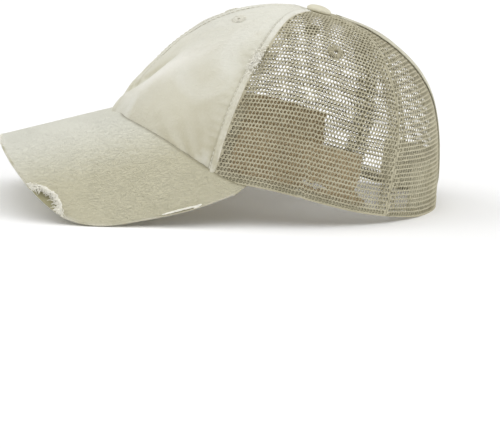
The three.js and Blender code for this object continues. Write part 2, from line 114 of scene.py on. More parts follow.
def read_table(rows: Sequence[Any], key: str, column: str, at: float) -> float:
    """Reads a column of a table along a smooth curve that is level at both ends.

    Args:
        rows: The table, in rising order of its key.
        key: Name of the field that orders the rows.
        column: Name of the field to read.
        at: Value of the key to read at.

    Returns:
        The value of the curve through the column.
    """
    keys = [getattr(row, key) for row in rows]
    values = [getattr(row, column) for row in rows]
    last = len(rows) - 1
    i = 0
    while i < last - 1 and at > keys[i + 1]:
        i += 1

    def slope(j: int) -> float:
        """Slope of the curve at a row."""
        if j <= 0 or j >= last:
            return 0.0
        return (values[j + 1] - values[j - 1]) / (keys[j + 1] - keys[j - 1])

    run = keys[i + 1] - keys[i]
    t = min(max((at - keys[i]) / run, 0), 1)
    return (
        (2 * t**3 - 3 * t**2 + 1) * values[i]
        + (t**3 - 2 * t**2 + t) * run * slope(i)
        + (3 * t**2 - 2 * t**3) * values[i + 1]
        + (t**3 - t**2) * run * slope(i + 1)
    )


@dataclass
class Rumple:
    """Smooth random relief in space, between -1 and 1, the same at every run.

    Attributes:
        size: Width of one bump.
        seed: Number that picks the relief.
        octaves: How many finer layers are added, each half as large and half as strong.
    """

    size: float
    seed: int
    octaves: int = 1

    def __post_init__(self) -> None:
        """Draws the relief's lattice of random heights."""
        self.count = 32
        self.heights = np.random.default_rng(self.seed).uniform(-1, 1, (self.count,) * 3)

    def layer(self, points: Array) -> Array:
        """Height of one layer at points given in lattice steps."""
        low = np.floor(points).astype(int)
        t = points - low
        t = t * t * (3 - 2 * t)
        total = np.zeros(points.shape[:-1])
        for corner in np.ndindex(2, 2, 2):
            weight = np.prod([t[..., k] if corner[k] else 1 - t[..., k] for k in range(3)], axis=0)
            index = tuple((low[..., k] + corner[k]) % self.count for k in range(3))
            total += weight * self.heights[index]
        return total

    def at(self, points: Array, stretch: Sequence[float] = (1, 1, 1)) -> Array:
        """Height of the relief.

        Args:
            points: Places, with x, y and z along the last axis.
            stretch: How much wider the bumps are along each axis.

        Returns:
            One height for each place.
        """
        scaled = np.asarray(points, float) / (self.size * np.asarray(stretch, float)) + 100
        return sum(self.layer(scaled * 2**k) / 2**k for k in range(self.octaves))


# Shape of the cap

@dataclass(frozen=True)
class CrownSection:
    """One upright section of the crown.

    Attributes:
        angle: Where the section stands.
        lean: Run outwards for each unit climbed, at the rim.
        upright: Length of the rim's tangent, as a share of the crown's height.
        shoulder: Length of the top's tangent, as a share of the rim's reach.
    """

    angle: float
    lean: float
    upright: float
    shoulder: float


@dataclass(frozen=True)
class CrownFold:
    """A soft fold pressed into the crown. Climb and reach are shares of the way up."""

    angle: float
    climb: float
    spread: float
    reach: float
    slant: float
    depth: float


@dataclass(frozen=True)
class BrimEdge:
    """A place on the brim's edge, from the tip to the horn, as shares of the half width and the length."""

    turn: float
    across: float
    ahead: float


CROWN_SECTIONS = (
    CrownSection(0, -0.26, 0.37, 0.65),
    CrownSection(30, -0.18, 0.42, 0.64),
    CrownSection(60, -0.05, 0.52, 0.62),
    CrownSection(95, 0, 0.66, 0.6),
    CrownSection(130, -0.05, 0.74, 0.6),
    CrownSection(180, -0.12, 0.8, 0.64),
)
CROWN_FOLDS = (
    CrownFold(9, 0.22, 7, 0.2, 30, 3),
    CrownFold(-14, 0.2, 8, 0.18, -24, 2.2),
)
BRIM_EDGE = (
    BrimEdge(0, 0, 1),
    BrimEdge(0.14, 0.27, 0.985),
    BrimEdge(0.28, 0.54, 0.945),
    BrimEdge(0.42, 0.76, 0.86),
    BrimEdge(0.54, 0.89, 0.745),
    BrimEdge(0.64, 0.965, 0.6),
    BrimEdge(0.74, 1.015, 0.36),
    BrimEdge(0.84, 1.03, 0.02),
    BrimEdge(0.93, 1.035, -0.4),
    BrimEdge(1, 1.02, -0.76),
)


@dataclass
class CapForm:
    """The driving sizes of crown and brim, and the surfaces worked out from them."""

    front: float = 108.0
    back: float = 95.5
    width: float = 150.0
    height: float = 103.0
    top_tilt: float = 4.0
    rim_lap: float = 5.0
    front_sink: float = 4.0
    side_lift: float = 4.2
    side_middle: float = -22.0
    side_reach: float = 72.0
    heel_start: float = 72.0
    heel_run: float = 14.0
    hem_height: float = 6.0
    brim_rise: float = 20.0
    brim_pitch: float = 25.0
    arch_square: float = 0.65
    brim_length: float = 70.0
    brim_thickness: float = 4.0
    edge_round: float = 0.8
    horn_angle: float = 73.0
    brim_steps: int = 28
    climb_steps: int = 240
    turn_steps: int = 400

    def __post_init__(self) -> None:
        """Works out the arch, the resting tilt, the map of the crown and the place in the frame."""
        self.horn_x, horn_y = self.rim_plan(self.horn_angle)
        pitch = math.radians(self.brim_pitch)
        self.arch_drop = (self.brim_rise - self.side_lift) * math.cos(pitch)
        self.arch_drop += (self.front + horn_y) * math.sin(pitch)
        self.turns = np.linspace(0, 1, self.turn_steps + 1)
        self.edge_across = np.array([read_table(BRIM_EDGE, "turn", "across", t) for t in self.turns])
        self.edge_ahead = np.array([read_table(BRIM_EDGE, "turn", "ahead", t) for t in self.turns])
        self.tilt = self.rest_tilt()
        self.map_crown()
        self.shift = np.zeros(3)
        tip = self.in_frame(self.brim_point(0.0, self.brim_length, self.brim_thickness / 2))
        heel = self.in_frame(self.crown(180.0, 0.0))
        self.shift = np.array([0, cad_box[0].y - tip[1], cad_box[0].z - heel[2]])

    def rim_plan(self, angle: Number) -> tuple[Number, Number]:
        """The place of the rim at an angle, seen from above."""
        turn = np.radians(angle)
        ahead = np.cos(turn)
        return self.width / 2 * np.sin(turn), -np.where(ahead > 0, self.front, self.back) * ahead

    def arch(self, across: Number) -> tuple[Number, Number]:
        """Fall of the arch below the brim's centre line at a distance from the middle, and its slope."""
        share = across / self.horn_x
        drop = self.arch_drop * lerp(share**2, share**4, self.arch_square)
        slope = self.arch_drop / self.horn_x * lerp(2 * share, 4 * share**3, self.arch_square)
        return drop, slope

    def brim_point(self, across: Number, ahead: Number, depth: Number) -> Array:
        """A point of the brim, measured across and ahead from the middle of its root, and downwards."""
        pitch = math.radians(self.brim_pitch)
        drop, slope = self.arch(across)
        square = np.hypot(slope, 1)
        fall = drop + depth / square
        x = across - depth * slope / square
        y = -self.front - ahead * math.cos(pitch) + fall * math.sin(pitch)
        z = self.brim_rise - ahead * math.sin(pitch) - fall * math.cos(pitch)
        return stacked(x, y, z)

    def brim_place(self, x: Number, y: Number) -> tuple[Number, Number]:
        """The place on the brim's top face that is seen from above at a point of the plan."""
        pitch = math.radians(self.brim_pitch)
        return x, (-self.front - y + self.arch(x)[0] * math.sin(pitch)) / math.cos(pitch)

    def brim_line(self, angle: Number) -> tuple[Array, Array]:
        """Root and edge of the brim at an angle, each as across and ahead along the last axis."""
        root = stacked(*self.brim_place(*self.rim_plan(angle)))
        turn = np.abs(angle) / self.horn_angle
        across = np.sign(angle) * self.horn_x * np.interp(turn, self.turns, self.edge_across)
        ahead = self.brim_length * np.interp(turn, self.turns, self.edge_ahead)
        return root, stacked(across, ahead)

    def brim_lay(self, angle: Number, drawn_in: Number) -> Array:
        """Across and ahead on the line of an angle, drawn in from the brim's edge by a distance."""
        root, edge = self.brim_line(angle)
        return edge + unit(root - edge) * np.asarray(drawn_in, float)[..., None]

    def brim_from_edge(self, angle: Number, drawn_in: Number, depth: Number) -> Array:
        """A point of the brim on the line of an angle, drawn in from the edge by a distance."""
        place = self.brim_lay(angle, drawn_in)
        return self.brim_point(place[..., 0], place[..., 1], depth)

    def brim_weave(self, angle: Number, drawn_in: Number) -> Array:
        """Place on the brim's cloth laid flat."""
        place = self.brim_lay(angle, drawn_in)
        steps = np.linspace(0, 1.2 * self.horn_x, 200)
        runs = np.cumsum(np.hypot(1, self.arch(steps)[1])) * (steps[1] - steps[0])
        across = np.sign(place[..., 0]) * np.interp(np.abs(place[..., 0]), steps, runs - runs[0])
        return stacked(across, place[..., 1])

    def rest_tilt(self) -> float:
        """How far the cap tips back until the brim's edge comes as low as the back hem."""
        angles = np.linspace(-self.horn_angle, self.horn_angle, self.brim_steps + 1)
        lows = np.concatenate(
            [
                self.brim_from_edge(angles, np.zeros_like(angles), self.brim_thickness / 2),
                self.brim_from_edge(angles, np.full_like(angles, self.edge_round), self.brim_thickness),
            ]
        )
        run = self.heel_start + self.heel_run / 2 - lows[:, 1]
        return float(np.degrees(np.arctan(np.max(-lows[:, 2] / run))))

    def rim_height(self, x: Number, y: Number) -> Array:
        """Height of the crown's lower edge over the rim plane."""
        aside = np.clip((y - self.side_middle) / self.side_reach, -1, 1)
        lift = self.side_lift * np.cos(aside * math.pi / 2) ** 2
        behind = self.brim_point(*self.brim_place(x, y), 0.0)[..., 2] - self.rim_lap
        brow = np.where(np.asarray(y) < 0, eased_ramp(behind - lift, self.front_sink), 0)
        heel = eased_ramp(np.asarray(y) - self.heel_start, self.heel_run)
        return lift + brow + heel * math.tan(math.radians(self.tilt))

    def map_crown(self) -> None:
        """Fills the tables of places, outward directions and cloth widths all over the crown."""
        angles = np.arange(-181.0, 182.0)
        t = np.linspace(0, 1, 401)[:, None]
        shares = np.linspace(0, 1, self.climb_steps + 1)
        places = []
        lengths = []
        for angle in angles:
            x, y = self.rim_plan(angle)
            side = abs((angle + 180) % 360 - 180)
            rim = np.array([x, y, float(self.rim_height(x, y))])
            out = unit(np.array([x, y, 0.0]))
            rise = (self.height - rim[2]) * read_table(CROWN_SECTIONS, "angle", "upright", side)
            lean = read_table(CROWN_SECTIONS, "angle", "lean", side)
            wall = rim + out * lean * rise + np.array([0, 0, rise])
            top = np.array([0, 0, self.height])
            reach = read_table(CROWN_SECTIONS, "angle", "shoulder", side) * math.hypot(x, y)
            fall = reach * out[1] * math.tan(math.radians(self.top_tilt))
            shoulder = top + out * reach - np.array([0, 0, fall])
            curve = (
                (1 - t) ** 3 * rim
                + 3 * (1 - t) ** 2 * t * wall
                + 3 * (1 - t) * t**2 * shoulder
                + t**3 * top
            )
            run = np.concatenate([[0], np.cumsum(np.linalg.norm(np.diff(curve, axis=0), axis=1))])
            lengths.append(run[-1])
            places.append(
                np.stack([np.interp(shares * run[-1], run, curve[:, k]) for k in range(3)], axis=1)
            )
        table = np.array(places)
        self.places = table[1:-1]
        self.lengths = np.array(lengths)[1:-1]
        round_step = (table[2:] - table[:-2]) / 2
        up_step = np.gradient(self.places, axis=1)
        self.normals = unit(np.cross(round_step, up_step))
        self.normals[:, -1] = self.normals[:, -2]
        self.widths = np.linalg.norm(round_step, axis=2)

    def look_up(self, table: Array, angle: Array, share: Array) -> Array:
        """Reads a table of the crown between its rows and columns."""
        turn = np.clip((angle + 180) % 360, 0, 359.9999)
        column = turn.astype(int)
        row_at = np.clip(share, 0, 1) * (self.climb_steps - 1e-6)
        row = row_at.astype(int)
        a = turn - column
        b = row_at - row
        if table.ndim == 3:
            a = a[..., None]
            b = b[..., None]
        low = lerp(table[column, row], table[column + 1, row], a)
        high = lerp(table[column, row + 1], table[column + 1, row + 1], a)
        return lerp(low, high, b)

    def length_at(self, angle: Number) -> Array:
        """Length of the crown's section at an angle, from rim to top."""
        return np.interp((np.asarray(angle, float) + 180) % 360 - 180, np.arange(-180, 181), self.lengths)

    def width_at(self, angle: Number, climb: Number) -> Array:
        """Millimetres of cloth for each degree round the crown at a climb."""
        angle, climb = np.broadcast_arrays(np.asarray(angle, float), np.asarray(climb, float))
        return self.look_up(self.widths, angle, climb / self.length_at(angle))

    def fold_depth(self, angle: Array, share: Array) -> Array:
        """Depth of the soft folds at a place on the crown."""
        total = np.zeros(np.shape(angle))
        for fold in CROWN_FOLDS:
            aside = (angle - fold.angle - fold.slant * (share - fold.climb)) / fold.spread
            along = (share - fold.climb) / fold.reach
            total = total + fold.depth * np.exp(-aside * aside - along * along)
        return total

    def crown(self, angle: Number, climb: Number, inset: Number = 0.0) -> Array:
        """Points of the crown.

        Args:
            angle: Where round the crown.
            climb: Distance up the outer face from the rim.
            inset: Distance inwards through the cloth.

        Returns:
            Places with x, y and z along the last axis.
        """
        angle, climb, inset = np.broadcast_arrays(
            np.asarray(angle, float), np.asarray(climb, float), np.asarray(inset, float)
        )
        share = np.clip(climb / self.length_at(angle), 0, 1)
        point = self.look_up(self.places, angle, share)
        out = self.look_up(self.normals, angle, share)
        free = ease(climb, 0, self.hem_height)
        out = np.concatenate([out[..., :2], out[..., 2:] * free[..., None]], axis=-1)
        moved = point + unit(out) * (-inset - self.fold_depth(angle, share))[..., None]
        slip = self.rim_height(moved[..., 0], moved[..., 1]) - self.rim_height(point[..., 0], point[..., 1])
        moved[..., 2] += (1 - free) * slip
        return moved

    def reach_at(self, point: Array) -> Array:
        """How far points lie outside the crown's outer face, measured level."""
        turn = np.degrees(np.arctan2(point[..., 0] / self.width * 2, -point[..., 1] / self.front))
        shares = np.linspace(0, 0.6, 121)
        wall = self.crown(turn[..., None], shares * self.length_at(turn)[..., None])
        heights = wall[..., 2]
        radii = np.hypot(wall[..., 0], wall[..., 1])
        nearest = np.argmin(np.abs(heights - point[..., 2][..., None]), axis=-1)
        radius = np.take_along_axis(radii, nearest[..., None], axis=-1)[..., 0]
        return np.hypot(point[..., 0], point[..., 1]) - radius

    def in_frame(self, points: Array) -> Array:
        """Points of the rim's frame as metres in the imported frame's axes, before or after its shift."""
        tilt = math.radians(self.tilt)
        y = points[..., 1] * math.cos(tilt) + points[..., 2] * math.sin(tilt)
        z = points[..., 2] * math.cos(tilt) - points[..., 1] * math.sin(tilt)
        return stacked(points[..., 0], y, z) * MM + self.shift


# Meshes

@dataclass
class Cloth:
    """Points and faces on their way to a mesh.

    Attributes:
        points: Places in the rim's frame.
        faces: Groups of faces with three or more corners each.
        weave: Place of each point on the flat cloth, for the finish.
        worn: How bare and bleached the cloth is at each point, up to 1. Below 0 it is painted shade, which
            darkens the cloth.
    """

    points: Array
    faces: list[Array]
    weave: Array
    worn: Array


def join(parts: Sequence[Cloth]) -> Cloth:
    """Several groups of points and faces as one."""
    faces = []
    start = 0
    for part in parts:
        faces += [group + start for group in part.faces]
        start += len(part.points)
    return Cloth(
        np.concatenate([part.points for part in parts]),
        faces,
        np.concatenate([part.weave for part in parts]),
        np.concatenate([part.worn for part in parts]),
    )


def border_edges(loops: Array) -> Array:
    """The directed edges of faces that no other face shares."""
    edges = np.stack([loops, np.roll(loops, -1, axis=1)], axis=-1).reshape(-1, 2)
    count = int(edges.max()) + 1
    forward = edges[:, 0] * count + edges[:, 1]
    backward = edges[:, 1] * count + edges[:, 0]
    return edges[~np.isin(forward, backward)]


def grid_wall(
    outer: Array,
    inner: Array,
    weave: Array,
    worn: Number = 0.0,
    keep: Optional[Array] = None,
    swell: float = 0.35,
) -> Cloth:
    """A closed wall of cloth between two grids of points, with rounded borders.

    Args:
        outer: Grid of the outer face, whose columns run to the left, seen from outside.
        inner: Grid of the inner face.
        weave: Grid of places on the flat cloth.
        worn: Grid of wear, and of painted shade where it is below 0.
        keep: Which squares of the grid there are.
        swell: How far the borders bulge, as a share of the wall.

    Returns:
        The wall.
    """
    index = np.arange(outer[..., 0].size).reshape(outer.shape[:2])
    loops = np.stack([index[:-1, :-1], index[:-1, 1:], index[1:, 1:], index[1:, :-1]], axis=-1)
    loops = loops.reshape(-1, 4) if keep is None else loops[keep]
    used, flat = np.unique(loops, return_inverse=True)
    loops = flat.reshape(loops.shape)
    worn = np.broadcast_to(worn, index.shape).ravel()[used]
    outer, inner, weave = (grid.reshape(index.size, -1)[used] for grid in (outer, inner, weave))
    count = len(used)
    edges = border_edges(loops)
    run = outer[edges[:, 1]] - outer[edges[:, 0]]
    through = outer[edges[:, 0]] - inner[edges[:, 0]]
    beyond = np.zeros_like(outer)
    for end in (0, 1):
        np.add.at(beyond, edges[:, end], unit(np.cross(run, through)))
    on_border = np.unique(edges)
    slots = np.full(count, -1)
    slots[on_border] = np.arange(len(on_border)) + 2 * count
    thickness = np.linalg.norm(outer - inner, axis=1, keepdims=True)
    middle = (outer + inner) / 2 + unit(beyond) * thickness * swell
    a, b = edges[:, 0], edges[:, 1]
    rim_outer = np.stack([b, a, slots[a], slots[b]], axis=1)
    rim_inner = np.stack([slots[b], slots[a], a + count, b + count], axis=1)
    return Cloth(
        np.concatenate([outer, inner, middle[on_border]]),
        [loops, loops[:, ::-1] + count, rim_outer, rim_inner],
        np.concatenate([weave, weave, weave[on_border]]),
        np.concatenate([worn, worn, worn[on_border]]),
    )


def strands(
    paths: Array, radii: Array, sides: int = 5, closed: bool = False, worn: Number = 0.0
) -> Cloth:
    """Threads along paths.

    Args:
        paths: Places, one row of points for each thread.
        radii: Radius at each of those points.
        sides: Corners of a thread's section.
        closed: Whether each thread's end meets its start.
        worn: Wear of all the threads, or of each one.

    Returns:
        All the threads as one group.
    """
    threads, steps = paths.shape[:2]
    if closed:
        ahead = np.roll(paths, -1, axis=1) - np.roll(paths, 1, axis=1)
    else:
        ahead = np.gradient(paths, axis=1)
    ahead = unit(ahead)
    overall = np.mean(ahead, axis=1, keepdims=True) + np.array([0.011, 0.007, 0.013])
    helper = np.where(np.abs(overall[..., 2:]) < 0.7, [0.0, 0.0, 1.0], [1.0, 0.0, 0.0])
    if closed:
        spread = paths - paths.mean(axis=1, keepdims=True)
        helper = unit(np.cross(spread[:, :1], spread[:, steps // 4 : steps // 4 + 1]))
    side = unit(np.cross(ahead, np.broadcast_to(helper, ahead.shape)))
    lift = np.cross(side, ahead)
    turn = np.arange(sides) / sides * 2 * math.pi
    ring = side[:, :, None] * np.cos(turn)[:, None] + lift[:, :, None] * np.sin(turn)[:, None]
    points = (paths[:, :, None] + ring * radii[:, :, None, None]).reshape(-1, 3)
    run = np.concatenate(
        [np.zeros((threads, 1)), np.cumsum(np.linalg.norm(np.diff(paths, axis=1), axis=2), axis=1)], axis=1
    )
    weave = stacked(run[:, :, None], turn / (2 * math.pi)).reshape(-1, 2)
    index = np.arange(threads * steps * sides).reshape(threads, steps, sides)
    following = np.roll(index, -1, axis=1) if closed else index[:, 1:]
    here = index if closed else index[:, :-1]
    loops = np.stack(
        [here, np.roll(here, -1, axis=2), np.roll(following, -1, axis=2), following], axis=-1
    ).reshape(-1, 4)
    faces = [loops[:, ::-1]]
    if not closed:
        faces += [index[:, 0], index[:, -1, ::-1]]
    wear = np.broadcast_to(np.reshape(worn, (-1, 1)), (threads, steps * sides)).ravel()
    return Cloth(points, faces, weave, wear)


def tube(points: Array, weave: Array, flip: bool = False) -> Cloth:
    """A closed body of rings of points, with a flat face at both ends.

    Args:
        points: Rows of points, each row a ring.
        weave: Place of each point on the flat cloth.
        flip: Whether the rings run the other way round.

    Returns:
        The body.
    """
    rows, count = points.shape[:2]
    index = np.arange(rows * count).reshape(rows, count)
    following = np.roll(index, -1, axis=1)
    loops = np.stack([index[:-1], following[:-1], following[1:], index[1:]], axis=-1).reshape(-1, 4)
    faces = [loops, index[:1, ::-1], index[-1:]]
    if flip:
        faces = [group[:, ::-1] for group in faces]
    return Cloth(points.reshape(-1, 3), faces, weave.reshape(-1, 2), np.zeros(rows * count))


def add_object(name: str, data: Any) -> bpy.types.Object:
    """A new object in the scene."""
    thing = bpy.data.objects.new(name, data)
    bpy.context.scene.collection.objects.link(thing)
    return thing


@dataclass
class Maker:
    """Turns groups of points into pieces that ride on the cap."""

    form: CapForm
    made: list[str] = field(default_factory=list)

    def piece(
        self,
        name: str,
        cloth: Cloth,
        finish: bpy.types.Material,
        slot: str,
        replaces: Sequence[str] = (),
    ) -> bpy.types.Object:
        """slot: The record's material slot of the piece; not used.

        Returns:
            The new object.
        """
        mesh = bpy.data.meshes.new(name)
        faces = [loop for group in cloth.faces for loop in group.tolist()]
        mesh.from_pydata(self.form.in_frame(cloth.points).tolist(), [], faces)
        corners = np.empty(len(mesh.loops), dtype=np.int32)
        mesh.loops.foreach_get("vertex_index", corners)
        layer = mesh.uv_layers.new(name="weave")
        layer.data.foreach_set("uv", cloth.weave[corners].astype(np.float32).ravel())
        wear = mesh.attributes.new("worn", "FLOAT", "POINT")
        wear.data.foreach_set("value", cloth.worn.astype(np.float32))
        mesh.shade_smooth()
        mesh.set_sharp_from_angle(angle=math.radians(SHARP_ANGLE))
        mesh.materials.append(finish)
        thing = add_object(name, mesh)
        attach(thing, "root")
        if replaces:
            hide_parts(*replaces)
        triangles = sum(len(group) * (group.shape[1] - 2) for group in cloth.faces)
        self.made.append(name)
        log.info("%s: %d triangles", name, triangles)
        return thing


# Finishes

class Shade:
    """A socket of a material's nodes, which plain Python operators work on."""

    def __init__(self, board: "Board", socket: bpy.types.NodeSocket) -> None:
        """Wraps a socket."""
        self.board = board
        self.socket = socket

    def maths(self, operation: str, *others: "Operand") -> "Shade":
        """Adds a Math node whose first input is this socket."""
        return self.board.node("ShaderNodeMath", {"operation": operation}, [self, *others])

    def __add__(self, other: "Operand") -> "Shade":
        """Sum."""
        return self.maths("ADD", other)

    __radd__ = __add__

    def __sub__(self, other: "Operand") -> "Shade":
        """Difference."""
        return self.maths("SUBTRACT", other)

    def __rsub__(self, other: "Operand") -> "Shade":
        """Difference from a number."""
        return self.board.node("ShaderNodeMath", {"operation": "SUBTRACT"}, [other, self])

    def __mul__(self, other: "Operand") -> "Shade":
        """Product."""
        return self.maths("MULTIPLY", other)

    __rmul__ = __mul__

    def wave(self) -> "Shade":
        """Sine."""
        return self.maths("SINE")

    def held(self, low: float, high: float) -> "Shade":
        """The value spread so that low becomes 0 and high becomes 1, and held there."""
        inputs = {"Value": self, "From Min": low, "From Max": high}
        return self.board.node("ShaderNodeMapRange", {"clamp": True}, inputs)


Operand = Union[Shade, float]
Colour = tuple[float, float, float]


def sheer(red: int, green: int, blue: int) -> Colour:
    """A colour seen on a screen, as the linear values that a shader takes."""
    shares = (c / 255 for c in (red, green, blue))
    return tuple(c / 12.92 if c <= 0.04045 else ((c + 0.055) / 1.055) ** 2.4 for c in shares)


class Board:
    """The nodes of one material around a Principled shader."""

    def __init__(self, name: str, roughness: float, sheen: float = 0.0, specular: float = 0.3) -> None:
        """Starts a material.

        Args:
            name: Name of the material.
            roughness: Roughness all over.
            sheen: Weight of the sheen of loose fibres.
            specular: Level of the plain reflection.
        """
        self.material = bpy.data.materials.new(name)
        self.material.use_nodes = True
        self.tree = self.material.node_tree
        self.shader = self.tree.nodes["Principled BSDF"]
        self.shader.inputs["Roughness"].default_value = roughness
        self.shader.inputs["Specular IOR Level"].default_value = specular
        self.shader.inputs["Sheen Weight"].default_value = sheen
        self.shader.inputs["Sheen Roughness"].default_value = 0.5

    def node(
        self,
        kind: str,
        settings: Optional[dict[str, Any]] = None,
        inputs: Union[dict[str, Any], Sequence[Any]] = (),
        output: Union[int, str] = 0,
    ) -> Shade:
        """Adds a node.

        Args:
            kind: Blender's name of the node type.
            settings: Properties of the node, set before its sockets. A ramp's stops go under "stops".
            inputs: Values or links of its sockets, by name or in order.
            output: Which output to hand back.

        Returns:
            The wrapped output.
        """
        made = self.tree.nodes.new(kind)
        for key, value in (settings or {}).items():
            if key == "stops":
                self.set_stops(made.color_ramp, value)
            else:
                setattr(made, key, value)
        items = inputs.items() if isinstance(inputs, dict) else enumerate(inputs)
        for key, value in items:
            if isinstance(value, Shade):
                self.tree.links.new(value.socket, made.inputs[key])
            else:
                made.inputs[key].default_value = value
        return Shade(self, made.outputs[output])

    @staticmethod
    def set_stops(ramp: bpy.types.ColorRamp, stops: Sequence[tuple[float, Colour]]) -> None:
        """Gives a colour ramp its stops."""
        while len(ramp.elements) < len(stops):
            ramp.elements.new(0.5)
        for element, (at, colour) in zip(ramp.elements, stops):
            element.position = at
            element.color = (*colour, 1)

    def mix(self, share: Operand, first: Any, second: Any) -> Shade:
        """Mixes two colours.

        Args:
            share: How much of the second colour.
            first: Colour or link.
            second: Colour or link.

        Returns:
            The mixed colour.
        """
        settings = {"data_type": "RGBA", "clamp_factor": True}
        colours = [c if isinstance(c, Shade) else (*c, 1) for c in (first, second)]
        return self.node("ShaderNodeMix", settings, {0: share, 6: colours[0], 7: colours[1]}, 2)

    def noise(self, where: Shade, scale: float, detail: float = 3.0, warp: float = 0.0) -> Shade:
        """A noise between 0 and 1 with a number of bumps for each unit of its place."""
        inputs = {"Vector": where, "Scale": scale, "Detail": detail, "Distortion": warp}
        return self.node("ShaderNodeTexNoise", {}, inputs, "Fac")

    def place(self) -> Shade:
        """Place on the object, in millimetres."""
        where = self.node("ShaderNodeTexCoord", {}, (), "Object")
        return self.node("ShaderNodeVectorMath", {"operation": "SCALE"}, {0: where, "Scale": 1 / MM})

    def weave(self) -> tuple[Shade, Shade]:
        """Place on the flat cloth, in millimetres across and along."""
        flat = self.node("ShaderNodeUVMap", {"uv_map": "weave"})
        across = self.node("ShaderNodeSeparateXYZ", {}, [flat])
        return across, Shade(self, across.socket.node.outputs["Y"])

    def worn(self) -> Shade:
        """Wear of the cloth, and painted shade where it is below 0."""
        return self.node("ShaderNodeAttribute", {"attribute_name": "worn"}, (), "Fac")

    def upward(self) -> Shade:
        """How far the surface faces the sky, from -1 to 1."""
        facing = self.node("ShaderNodeNewGeometry", {}, (), "Normal")
        return self.node("ShaderNodeSeparateXYZ", {}, [facing], "Z")

    def bump(
        self, height: Shade, depth: float, strength: float = 1.0, under: Optional[Shade] = None
    ) -> Shade:
        """Relief of a depth in millimetres, over another one if given."""
        inputs = {"Height": height, "Distance": depth * MM, "Strength": strength}
        if under is not None:
            inputs["Normal"] = under
        return self.node("ShaderNodeBump", {}, inputs)

    def finish(self, colour: Any, relief: Optional[Shade] = None) -> bpy.types.Material:
        """Links the shader's surface inputs and hands the material back."""
        if isinstance(colour, Shade):
            self.tree.links.new(colour.socket, self.shader.inputs["Base Color"])
        else:
            self.shader.inputs["Base Color"].default_value = (*colour, 1)
        if relief is not None:
            self.tree.links.new(relief.socket, self.shader.inputs["Normal"])
        return self.material


@dataclass(frozen=True)
class TwillFinish:
    """Washed cotton twill: fine slanted ribs, soft clouds of shade and bleached wear, with a painted
    highlight on faces that look up and painted shade where the wear channel is below 0.
    """

    name: str = "washed_twill"
    colour: Colour = sheer(206, 201, 175)
    shade: Colour = sheer(196, 190, 163)
    # The pale colour gives the painted highlight on faces that look up, and the random pale blotches.
    top_light_and_fade: Colour = sheer(229, 228, 216)
    bleached: Colour = sheer(244, 242, 233)
    # Dark colour of the painted shade, used where the wear channel is below 0.
    painted_shade: Colour = sheer(128, 120, 90)
    # Range of upward facing over which the painted highlight comes in.
    top_light_from: float = 0.15
    top_light_to: float = 0.9
    blotch: float = 0.85
    rib: float = 0.62
    rib_depth: float = 0.07
    pucker: float = 0.16

    def build(self) -> bpy.types.Material:
        """Makes the material."""
        board = Board(self.name, roughness=0.92, sheen=0.25, specular=0.2)
        across, along = board.weave()
        where = board.place()
        worn = board.worn()
        ribs = ((across + along * 0.6) * (2 * math.pi / self.rib)).wave() * 0.5 + 0.5
        yarns = (along * (2 * math.pi / (self.rib * 0.8))).wave() * 0.5 + 0.5
        clouds = board.noise(where, 0.045, 4.0, 0.4).held(0.3, 0.72)
        specks = board.noise(where, 0.9, 3.0).held(0.35, 0.7)
        cloth = board.mix(clouds, self.shade, self.colour)
        # Painted highlight: the more a face looks up, the more it is mixed towards the pale colour, so tops
        # are lighter and sides and undersides darker.
        cloth = board.mix(board.upward().held(self.top_light_from, self.top_light_to) * 0.9, cloth, self.top_light_and_fade)
        if self.blotch:
            blotches = board.noise(where, 0.028, 3.0, 0.8).held(0.5, 0.7)
            cloth = board.mix(blotches * self.blotch, cloth, self.top_light_and_fade)
        cloth = board.mix(ribs * 0.06 + specks * 0.08, cloth, self.bleached)
        cloth = board.mix(worn, cloth, self.bleached)
        # Painted shade: below 0 the wear channel darkens the cloth, in the seams' grooves, round the seam's
        # tuft, along the brim's root and beside its rubbed roll.
        cloth = board.mix(worn * -1.0, cloth, self.painted_shade)
        relief = board.bump(ribs * 0.75 + yarns * 0.25, self.rib_depth)
        flat = board.node("ShaderNodeCombineXYZ", {}, [across * 0.8, along * 0.33])
        ridges = (board.noise(flat, 1.0, 2.0, 0.6) - 0.5).maths("ABSOLUTE").held(0.0, 0.12)
        patches = board.noise(where, 0.02, 1.0).held(0.2, 0.6)
        relief = board.bump((1.0 - ridges) * patches, self.pucker, 1.0, relief)
        relief = board.bump(board.noise(where, 0.35, 4.0), 0.22, 0.7, relief)
        return board.finish(cloth, relief)


@dataclass(frozen=True)
class NetFinish:
    """Knitted net yarn: matte, with fine filaments and a little unevenness."""

    name: str = "knitted_net"
    colour: Colour = sheer(192, 186, 160)
    shade: Colour = sheer(172, 165, 138)

    def build(self) -> bpy.types.Material:
        """Makes the material."""
        board = Board(self.name, roughness=0.78, sheen=0.15, specular=0.3)
        where = board.place()
        clouds = board.noise(where, 0.06, 3.0, 0.3).held(0.3, 0.7)
        filaments = board.noise(where, 3.2, 3.0)
        colour = board.mix(clouds, self.shade, self.colour)
        colour = board.mix(filaments.held(0.35, 0.75) * 0.35, colour, sheer(210, 205, 182))
        return board.finish(colour, board.bump(filaments, 0.12))


